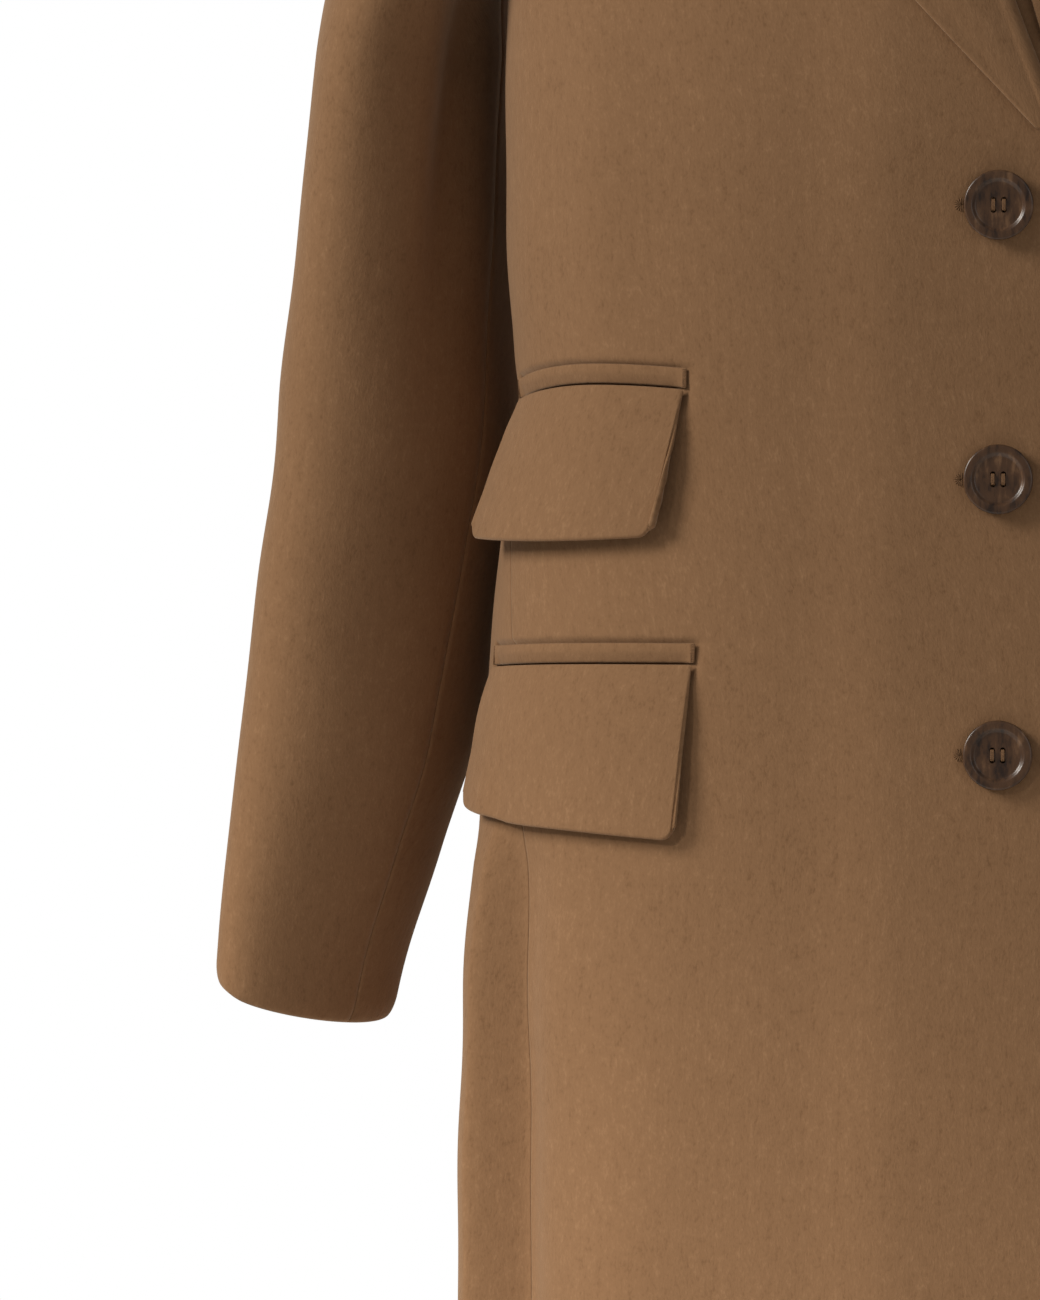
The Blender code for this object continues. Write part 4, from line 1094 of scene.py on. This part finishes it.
HORN_MIX, HORN_BUMP = (0.65, 0.35), (0.15, 0.0002)
HORN_SURFACE = dict(Roughness=0.33, Specular_IOR_Level=0.5, Coat_Weight=0.15, Coat_Roughness=0.2)
THREAD_TONES = ((0.3, (0.150, 0.078, 0.037)), (0.7, (0.245, 0.132, 0.064)))
THREAD_TWIST, THREAD_BUMP = (2600.0, 2.0, 0.5), (0.4, 0.0002)
THREAD_SURFACE = dict(Roughness=0.8, Specular_IOR_Level=0.25)


def wool_finish():
    """Fulled camel wool: mixed fibres, a short nap down the grain and a soft bloom at grazing angles."""
    material, tree, shader = new_finish("camel_wool")
    grain = node_of(tree, "ShaderNodeAttribute", attribute_name="grain").outputs["Vector"]
    nap = stretched(tree, grain, NAP_RUN)
    fibres = noise_of(tree, nap, *WOOL_FIBRES)
    tufts = noise_of(tree, nap, *WOOL_TUFTS)
    clouds = noise_of(tree, grain, *WOOL_CLOUDS)
    yarns = noise_of(tree, stretched(tree, grain, YARN_RUN), *WOOL_YARNS)
    blend = sum_of(tree, *zip((fibres, tufts, yarns, clouds), WOOL_MIX))
    height = sum_of(tree, *zip((fibres, tufts), NAP_MIX))
    complete(tree, shader, blend, WOOL_TONES, height, WOOL_BUMP, **WOOL_SURFACE)
    return material


def horn_finish():
    """Polished dark horn with pale streaks along one way."""
    material, tree, shader = new_finish("dark_horn")
    spot = node_of(tree, "ShaderNodeTexCoord").outputs["Object"]
    streaks = noise_of(tree, stretched(tree, spot, STREAK_RUN), *HORN_STREAKS)
    clouds = noise_of(tree, spot, *HORN_CLOUDS)
    blend = sum_of(tree, *zip((streaks, clouds), HORN_MIX))
    complete(tree, shader, blend, HORN_TONES, streaks, HORN_BUMP, **HORN_SURFACE)
    return material


def thread_finish():
    """Twisted sewing thread, a shade deeper than the cloth."""
    material, tree, shader = new_finish("brown_thread")
    spot = node_of(tree, "ShaderNodeTexCoord").outputs["Object"]
    twist = noise_of(tree, spot, *THREAD_TWIST)
    complete(tree, shader, twist, THREAD_TONES, twist, THREAD_BUMP, **THREAD_SURFACE)
    return material


wool = wool_finish()
horn = horn_finish()
thread = thread_finish()


def new_tree(name, **kinds):
    """A node tree that grows something along a path, its inputs, and the path as a curve."""
    tree = bpy.data.node_groups.new(name, "GeometryNodeTree")
    inputs = {label: tree.interface.new_socket(label, in_out="INPUT", socket_type="NodeSocket" + kind)
              for label, kind in kinds.items()}
    tree.interface.new_socket("Grown", in_out="OUTPUT", socket_type="NodeSocketGeometry")
    given = node_of(tree, "NodeGroupInput").outputs
    path = node_of(tree, "GeometryNodeMeshToCurve")
    tree.links.new(given["Path"], path.inputs[0])
    return tree, inputs, given, path.outputs[0]


def scaled(tree, value, share):
    product = node_of(tree, "ShaderNodeMath", operation="MULTIPLY")
    tree.links.new(value, product.inputs[0])
    product.inputs[1].default_value = share
    return product.outputs[0]


def tube_along(tree, curve, thickness, sides):
    ring = node_of(tree, "GeometryNodeCurvePrimitiveCircle")
    ring.inputs["Resolution"].default_value = sides
    tree.links.new(scaled(tree, thickness, 0.5), ring.inputs["Radius"])
    tube = node_of(tree, "GeometryNodeCurveToMesh")
    tube.inputs["Fill Caps"].default_value = True
    tree.links.new(curve, tube.inputs["Curve"])
    tree.links.new(ring.outputs[0], tube.inputs["Profile Curve"])
    return tube.outputs[0]


# Stitches and threads: steps of a stitch's bow, sides of a stitch and of a thread, and how uneven
# stitches are
BOW_STEPS = 5
STITCH_SIDES = 6
THREAD_SIDES = 8
STITCH_LEAST, STITCH_MOST = 0.9, 1.1


def stitch_tree():
    """Small bowed stitches at even spacing along a path, lying the way the path says."""
    tree, inputs, given, path = new_tree(
        "overcast_stitches", Path="Geometry", Spacing="Float", Length="Float", Thickness="Float",
        Rise="Float", Seed="Int", Thread="Material")
    links = tree.links
    points = node_of(tree, "GeometryNodeResampleCurve", mode="LENGTH")
    links.new(path, points.inputs["Curve"])
    links.new(given["Spacing"], points.inputs["Length"])

    bow = node_of(tree, "GeometryNodeCurveQuadraticBezier")
    bow.inputs["Resolution"].default_value = BOW_STEPS
    for name, size, share, axis in (("Start", "Length", -0.5, "X"), ("Middle", "Rise", 1.0, "Z"),
                                    ("End", "Length", 0.5, "X")):
        mark = node_of(tree, "ShaderNodeCombineXYZ")
        links.new(scaled(tree, given[size], share), mark.inputs[axis])
        links.new(mark.outputs[0], bow.inputs[name])
    stitch = tube_along(tree, bow.outputs[0], given["Thickness"], STITCH_SIDES)

    turn = None
    for name, axis, pivot in (("facing", "Z", "AUTO"), ("lie", "X", "Z")):
        way = node_of(tree, "GeometryNodeInputNamedAttribute", data_type="FLOAT_VECTOR")
        way.inputs["Name"].default_value = name
        align = node_of(tree, "FunctionNodeAlignRotationToVector", axis=axis, pivot_axis=pivot)
        links.new(way.outputs["Attribute"], align.inputs["Vector"])
        if turn is not None:
            links.new(turn, align.inputs["Rotation"])
        turn = align.outputs[0]
    vary = node_of(tree, "FunctionNodeRandomValue", data_type="FLOAT")
    set_inputs(vary, Min=STITCH_LEAST, Max=STITCH_MOST)
    links.new(given["Seed"], vary.inputs["Seed"])
    scatter = node_of(tree, "GeometryNodeInstanceOnPoints")
    links.new(points.outputs[0], scatter.inputs["Points"])
    links.new(stitch, scatter.inputs["Instance"])
    links.new(turn, scatter.inputs["Rotation"])
    links.new(vary.outputs["Value"], scatter.inputs["Scale"])
    close_tree(tree, given, scatter.outputs[0])
    return tree, inputs


def thread_tree():
    """A round thread along every path."""
    tree, inputs, given, path = new_tree("thread_runs", Path="Geometry", Thickness="Float", Thread="Material")
    close_tree(tree, given, tube_along(tree, path, given["Thickness"], THREAD_SIDES))
    return tree, inputs


def close_tree(tree, given, geometry):
    real = node_of(tree, "GeometryNodeRealizeInstances")
    smooth = node_of(tree, "GeometryNodeSetShadeSmooth")
    paint = node_of(tree, "GeometryNodeSetMaterial")
    result = node_of(tree, "NodeGroupOutput")
    tree.links.new(geometry, real.inputs[0])
    tree.links.new(real.outputs[0], smooth.inputs[0])
    tree.links.new(smooth.outputs[0], paint.inputs["Geometry"])
    tree.links.new(given["Thread"], paint.inputs["Material"])
    tree.links.new(paint.outputs[0], result.inputs[0])


def grown(name, paths, tree, inputs, values):
    """A plain mesh grown along the paths: each path is a list of points, facings and lies."""
    source = bpy.data.meshes.new(name + "_path")
    points, edges, facing, lie = [], [], [], []
    for path in paths:
        first = len(points)
        points += [tuple(point) for point in path[0]]
        facing += [tuple(way) for way in path[1]]
        lie += [tuple(way) for way in path[2]]
        edges += [(index, index + 1) for index in range(first, len(points) - 1)]
    source.from_pydata(points, edges, [])
    for label, ways in (("facing", facing), ("lie", lie)):
        layer = source.attributes.new(label, "FLOAT_VECTOR", "POINT")
        layer.data.foreach_set("vector", np.array(ways, dtype=float).ravel())
    maker = add_object(name + "_maker", source)
    modifier = maker.modifiers.new("grow", "NODES")
    modifier.node_group = tree
    for label, value in values.items():
        modifier[inputs[label].identifier] = value
    graph = bpy.context.evaluated_depsgraph_get()
    mesh = bpy.data.meshes.new_from_object(maker.evaluated_get(graph))
    mesh.name = name
    maker.modifiers.remove(modifier)
    bpy.data.objects.remove(maker)
    bpy.data.meshes.remove(source)
    return add_object(name, mesh)


def button_seat(height):
    outward = Vector(body_normal(RIGHT, np.float64(0.0), np.float64(height)))
    seat = Vector(front_point(RIGHT, np.float64(0.0), np.float64(height), BUTTON_SEAT))
    return Matrix.Translation(seat) @ outward.to_track_quat("Z", "Y").to_matrix().to_4x4()


def arc(centre, radius, start, end, steps):
    turn = np.linspace(start, end, steps)
    return [(centre[0] + radius * np.cos(angle), centre[1] + radius * np.sin(angle)) for angle in turn]


def button_mesh(name):
    """A turned button blank: rounded edge, raised rim and a soft step into the dish; add_button cuts its four
    sewing holes.
    """
    face = BUTTON_THICKNESS - BUTTON_DISH
    edge = BUTTON_RADIUS - BUTTON_EDGE
    rim = BUTTON_RADIUS - BUTTON_RIM
    outline = [(0.0, 0.0), (edge * BACK_RING, 0.0)]
    outline += arc((edge, BUTTON_EDGE), BUTTON_EDGE, -pi / 2.0, 0.0, BUTTON_EDGE_STEPS)
    outline += arc((edge, BUTTON_THICKNESS - BUTTON_EDGE), BUTTON_EDGE, 0.0, pi / 2.0, BUTTON_EDGE_STEPS)
    for step in np.linspace(0.0, 1.0, DISH_STEPS):
        outline.append((mix(rim, rim - DISH_RUN, step), mix(BUTTON_THICKNESS, face, ease(step))))
    outline += [(rim * DISH_RING, face), (0.0, face)]
    turned = bmesh.new()
    corners = [turned.verts.new((radius, 0.0, level)) for radius, level in outline]
    for first, second in zip(corners, corners[1:]):
        turned.edges.new((first, second))
    bmesh.ops.spin(
        turned, geom=list(turned.verts) + list(turned.edges), cent=(0.0, 0.0, 0.0), axis=(0.0, 0.0, 1.0),
        angle=2.0 * pi, steps=BUTTON_STEPS, use_merge=True)
    bmesh.ops.remove_doubles(turned, verts=turned.verts, dist=BUTTON_MERGE)
    bmesh.ops.recalc_face_normals(turned, faces=turned.faces)
    mesh = bpy.data.meshes.new(name)
    turned.to_mesh(mesh)
    turned.free()
    return mesh


def hole_mesh(name):
    cutter = bmesh.new()
    for across in (-HOLE_SPACING, HOLE_SPACING):
        for up in (-HOLE_SPACING, HOLE_SPACING):
            bmesh.ops.create_cone(
                cutter, cap_ends=True, segments=HOLE_STEPS, radius1=HOLE_RADIUS, radius2=HOLE_RADIUS,
                depth=HOLE_CUT, matrix=Matrix.Translation((across, up, BUTTON_THICKNESS / 2.0)))
    mesh = bpy.data.meshes.new(name)
    cutter.to_mesh(mesh)
    cutter.free()
    return mesh


def add_button(number, height):
    blank = add_object("button_blank", button_mesh("button_blank"))
    drill = add_object("button_drill", hole_mesh("button_drill"))
    holes = blank.modifiers.new("holes", "BOOLEAN")
    holes.operation = "DIFFERENCE"
    holes.solver = "EXACT"
    holes.object = drill
    graph = bpy.context.evaluated_depsgraph_get()
    mesh = bpy.data.meshes.new_from_object(blank.evaluated_get(graph))
    mesh.name = "button_%d_turned" % number
    for item in (blank, drill):
        bpy.data.objects.remove(item)
    mesh.transform(button_seat(height))
    mesh.materials.clear()
    mesh.materials.append(horn)
    mesh.polygons.foreach_set("use_smooth", np.ones(len(mesh.polygons), dtype=bool))
    mesh.set_sharp_from_angle(angle=radians(BUTTON_SHARP))
    piece = add_object(mesh.name, mesh)
    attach(piece, "root")
    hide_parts("button_%d" % number)


# Buttonholes and bar tacks: stitch sizes, and how far a hole runs from the centre front
STITCH = {"Spacing": 0.00062, "Length": 0.0023, "Thickness": 0.00056, "Rise": 0.0006, "Seed": 7}
TACK = {"Spacing": 0.00058, "Length": 0.0016, "Thickness": 0.00040, "Rise": 0.0002, "Seed": 11}
BUTTONHOLE_FROM, BUTTONHOLE_TO = 0.011, -0.015
BUTTONHOLE_HALF = 0.0014
LIP_STEPS = 40
LIP_TURN_STEPS = 13
STITCH_LIFT = 0.0001
TACK_INSET = 0.0010
TACK_SHORT = 0.0004
TACK_SINK = 0.0001
TACK_STEPS = 14

# Thread over a button: rows side by side, how deep it starts, where it bends at the holes, and its bow
THREAD_THICKNESS = 0.00055
THREAD_ROWS = (-0.00045, 0.0, 0.00045)
THREAD_FOOT = 0.0010
THREAD_BEND = 0.0002
THREAD_CLEAR = 0.0001
THREAD_BOW = 0.0006
THREAD_STEPS = 9


def cloth_path(side, outs, heights, lift, lies):
    """Points on a front for a row of stitches, with the way each faces and the way it lies."""
    outs = np.asarray(outs, dtype=float)
    heights = np.asarray(heights, dtype=float)
    points = front_point(side, outs, heights, lift)
    facing = body_normal(side, angle_at(outs, heights), heights)
    points = points + facing * lead(uneven(points))
    return points, facing, lies


def buttonhole_paths(height):
    """Stitches all round the hole: along both lips and round its inner end."""
    low, high = -BUTTONHOLE_TO, -BUTTONHOLE_FROM
    turn = np.linspace(-pi / 2.0, pi / 2.0, LIP_TURN_STEPS)[1:-1]
    lip = np.linspace(high, low, LIP_STEPS)
    level = np.full(LIP_STEPS, BUTTONHOLE_HALF)
    upright = np.tile(UP, (LIP_STEPS, 1))
    outs = np.concatenate((lip, low + BUTTONHOLE_HALF * np.cos(turn), np.linspace(low, high, LIP_STEPS)))
    rises = np.concatenate((-level, BUTTONHOLE_HALF * np.sin(turn), level))
    ways = np.concatenate((upright, np.stack((-np.cos(turn), 0.0 * turn, np.sin(turn)), -1), upright))
    return cloth_path(RIGHT, outs, height + rises, STITCH_LIFT, ways)


def tack_paths(flap):
    """A short bar of stitches over each end of a pocket welt."""
    rear, front = flap_ends(flap, WELT_PAST_FLAP)
    inset = TACK_INSET / CREASE_RADIUS
    found = []
    for angle, part in ((rear - inset, 0.0), (front + inset, 1.0)):
        rises = np.linspace(TACK_SHORT, WELT_HEIGHT - TACK_SHORT, TACK_STEPS)
        heights = flap_seam(flap, part) + WELT_GAP + rises
        angles = np.full(TACK_STEPS, float(angle))
        points = body_point(flap.side, angles, heights, WELT_END_LIFT)
        facing = body_normal(flap.side, angles, heights)
        points = points + facing * lead(uneven(points) - TACK_SINK)
        found.append((points, facing, unit(np.cross(facing, np.tile(UP, (TACK_STEPS, 1))))))
    return found


def button_threads(height):
    """Two bars of thread over the face of a button, each dipping into a pair of holes."""
    face = BUTTON_THICKNESS - BUTTON_DISH
    seat = button_seat(height)
    found = []
    for across in (-HOLE_SPACING, HOLE_SPACING):
        for shift in THREAD_ROWS:
            line = [(-HOLE_SPACING, THREAD_FOOT), (-HOLE_SPACING, face - THREAD_BEND)]
            for turn in np.linspace(pi, 0.0, THREAD_STEPS):
                line.append((HOLE_SPACING * np.cos(turn), face + THREAD_CLEAR + THREAD_BOW * np.sin(turn)))
            line += [(HOLE_SPACING, face - THREAD_BEND), (HOLE_SPACING, THREAD_FOOT)]
            points = [seat @ Vector((across + shift, *point)) for point in line]
            found.append((points, [(0.0, -1.0, 0.0)] * len(points), [(0.0, 0.0, 1.0)] * len(points)))
    return found


def row_at(height):
    return SKIRT_ROWS * (height - HEM) / (BREAK - HEM)


def even(steps):
    """Grid steps that are all alike, with no marks between the ends."""
    return (0.0, 1.0), (steps,)


# Grid steps of the pieces, about 5 mm apart on the panels and closer at the pocket seams and in turns
POCKET_BANDS = (-0.533, -0.502, -0.423, -0.392)
panel_marks = (SEAM_ROWS / PANEL_ROWS, ARM_END / PANEL_ROWS, (ARM_END + 1) / PANEL_ROWS, 1.0)
panel_along = ((0.0, *panel_marks), (150, 44, 3, 14))
front_marks = tuple(row_at(height) / PANEL_ROWS for height in POCKET_BANDS)
front_along = ((0.0, *front_marks, *panel_marks), (96, 36, 16, 36, 34, 44, 3, 14))
side_marks_along = tuple(row_at(height) / SEAM_ROWS for height in POCKET_BANDS)
seam_along = ((0.0, *side_marks_along, 1.0), (96, 36, 16, 36, 34))
side_across = ((0.0, 0.25, 1.0), (44, 30))
front_across = ((0.0, 0.86, 1.0), (60, 32))
back_across = even(112)
sleeve_along = ((0.0, SLEEVE_CAP_ROWS / SLEEVE_ROWS, CUFF_ROLL_FROM, 1.0), (46, 80, 10))
sleeve_top_across, sleeve_under_across = even(76), even(40)
turning_across, turning_along = even(150), ((0.0, 0.5, 1.0), (4, 4))
lapel_across = ((0.0, ROLL_WRAP, mix(ROLL_WRAP, 1.0, NOTCH_COLUMN), 1.0), (10, 14, 14))
lapel_along = even(90)
collar_across = ((0.0, 0.5, 1.0), (90, 90))
collar_along = ((0.0, COLLAR_STAND_PART, 1.0), (10, 32))
flap_across, flap_along = even(60), even(36)
welt_across, welt_along = even(80), even(8)


def make_coat():
    for side in (RIGHT, LEFT):
        word = WORD[side]
        sew("front_" + word, front_place(side), front_across, front_along, CLOTH, side, "r")
        sew("side_" + word, side_place(side), side_across, seam_along, CLOTH, side, "lrt")
        armhole, away_at, (hind, forearm) = armhole_curve(side)
        for half, across, first, last in (("top", sleeve_top_across, forearm - 1.0, hind),
                                          ("under", sleeve_under_across, hind, forearm)):
            place, relief = sleeve_place(side, armhole, first, last)
            sew("sleeve_%s_%s" % (half, word), place, across, sleeve_along, CLOTH, -side, "lrb",
                relief=relief)
        place, relief = turning_place(side, armhole, away_at)
        turning = shell("armhole_turning_" + word, place, turning_across, turning_along, TURNING_CLOTH, -side,
                        relief=relief)
        lay(turning)
        sew("lapel_" + word, lapel_place(side, *LAPEL_FEET[side]), lapel_across, lapel_along, CLOTH, side)
    sew("back", back_place, back_across, panel_along, CLOTH, LEFT, "lr")
    sew("collar", collar_place, collar_across, collar_along, CLOTH, 1)
    for flap in FLAPS:
        sew("flap_" + flap.name, flap_place(flap), flap_across, flap_along, FLAP_LAYERS, -flap.side,
            taper=flap_taper)
        welt, taper = welt_place(flap)
        sew("welt_" + flap.name, welt, welt_across, welt_along, WELT_CLOTH, -flap.side,
            taper=taper)
    for number, height in enumerate(BUTTON_HEIGHTS, 1):
        add_button(number, height)
    tree, inputs = stitch_tree()
    holes = [buttonhole_paths(height) for height in BUTTON_HEIGHTS]
    tacks = [path for flap in FLAPS for path in tack_paths(flap)]
    sewn = [grown("buttonhole_stitches", holes, tree, inputs, {**STITCH, "Thread": thread}),
            grown("pocket_bar_tacks", tacks, tree, inputs, {**TACK, "Thread": thread})]
    tree, inputs = thread_tree()
    runs = [path for height in BUTTON_HEIGHTS for path in button_threads(height)]
    sizes = {"Thickness": THREAD_THICKNESS, "Thread": thread}
    sewn.append(grown("button_threads", runs, tree, inputs, sizes))
    for piece in sewn:
        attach(piece, "root")


# Studio: a camera at the photograph's angle, one large light from the wearer's right, and a pale floor
CAMERA_AT, CAMERA_AIM, CAMERA_LENS = (0.0, -3.5, -0.38), (-0.198, -0.03, -0.518), 232.0
LAMPS = table(
    "name place aim width height power colour",
    ("key", (-2.46, -1.12, 1.00), (-0.15, 0.0, -0.70), 1.1, 1.1, 66.0, (1.0, 0.96, 0.90)),
    ("fill", (1.9, -2.6, 0.2), (0.0, 0.0, -0.50), 1.6, 1.6, 8.0, (1.0, 0.98, 0.95)),
    ("rear", (-0.6, 2.4, 0.3), (-0.2, 0.0, -0.55), 1.8, 1.8, 26.0, (1.0, 0.99, 0.97)),
)
# A narrow light of the same side lifts the skirt: its cone is in degrees and fades out to its rim
SKIRT_LIGHT_AT, SKIRT_LIGHT_AIM = (-1.60, -2.10, 0.30), (-0.15, -0.13, -1.18)
SKIRT_LIGHT_POWER, SKIRT_LIGHT_CONE, SKIRT_LIGHT_FADE, SKIRT_LIGHT_RADIUS = 190.0, 28.0, 1.0, 0.20
AMBIENT = 0.18
FLOOR_HEIGHT = -1.42
FLOOR_RADIUS = 2.5
FLOOR_STEPS = 96
FLOOR_COLOUR, FLOOR_ROUGHNESS = (0.82, 0.81, 0.79, 1.0), 0.9
WHITE = (1.0, 1.0, 1.0, 1.0)
SENSOR_WIDTH = 36.0


def aimed(name, data, place, aim):
    item = add_object(name, data)
    item.location = place
    item.rotation_euler = (Vector(aim) - Vector(place)).to_track_quat("-Z", "Y").to_euler()
    return item


def make_studio():
    scene = bpy.context.scene
    view = bpy.data.cameras.new("view")
    view.lens = CAMERA_LENS
    view.sensor_width = SENSOR_WIDTH
    scene.camera = aimed("view", view, CAMERA_AT, CAMERA_AIM)
    for lamp in LAMPS:
        data = bpy.data.lights.new(lamp.name, "AREA")
        data.shape = "RECTANGLE"
        data.size = lamp.width
        data.size_y = lamp.height
        data.energy = lamp.power
        data.color = lamp.colour
        aimed(lamp.name, data, lamp.place, lamp.aim)
    data = bpy.data.lights.new("skirt_light", "SPOT")
    data.energy = SKIRT_LIGHT_POWER
    data.spot_size = radians(SKIRT_LIGHT_CONE)
    data.spot_blend = SKIRT_LIGHT_FADE
    data.shadow_soft_size = SKIRT_LIGHT_RADIUS
    data.color = LAMPS[0].colour
    aimed("skirt_light", data, SKIRT_LIGHT_AT, SKIRT_LIGHT_AIM)
    world = bpy.data.worlds.new("studio")
    world.use_nodes = True
    tree = world.node_tree
    soft = tree.nodes["Background"]
    set_inputs(soft, Strength=AMBIENT, Color=WHITE)
    white = node_of(tree, "ShaderNodeBackground")
    set_inputs(white, Color=WHITE)
    choose = node_of(tree, "ShaderNodeMixShader")
    seen = node_of(tree, "ShaderNodeLightPath")
    tree.links.new(seen.outputs["Is Camera Ray"], choose.inputs["Fac"])
    tree.links.new(soft.outputs[0], choose.inputs[1])
    tree.links.new(white.outputs[0], choose.inputs[2])
    tree.links.new(choose.outputs[0], tree.nodes["World Output"].inputs["Surface"])
    scene.world = world
    scene.view_settings.view_transform = "Standard"

    disc = bmesh.new()
    bmesh.ops.create_circle(disc, cap_ends=True, segments=FLOOR_STEPS, radius=FLOOR_RADIUS,
                            matrix=Matrix.Translation((0.0, 0.0, FLOOR_HEIGHT)))
    mesh = bpy.data.meshes.new("floor")
    disc.to_mesh(mesh)
    disc.free()
    material, tree, shader = new_finish("pale_floor")
    set_inputs(shader, Base_Color=FLOOR_COLOUR, Roughness=FLOOR_ROUGHNESS)
    mesh.materials.append(material)
    add_object("floor", mesh)


make_coat()
make_studio()
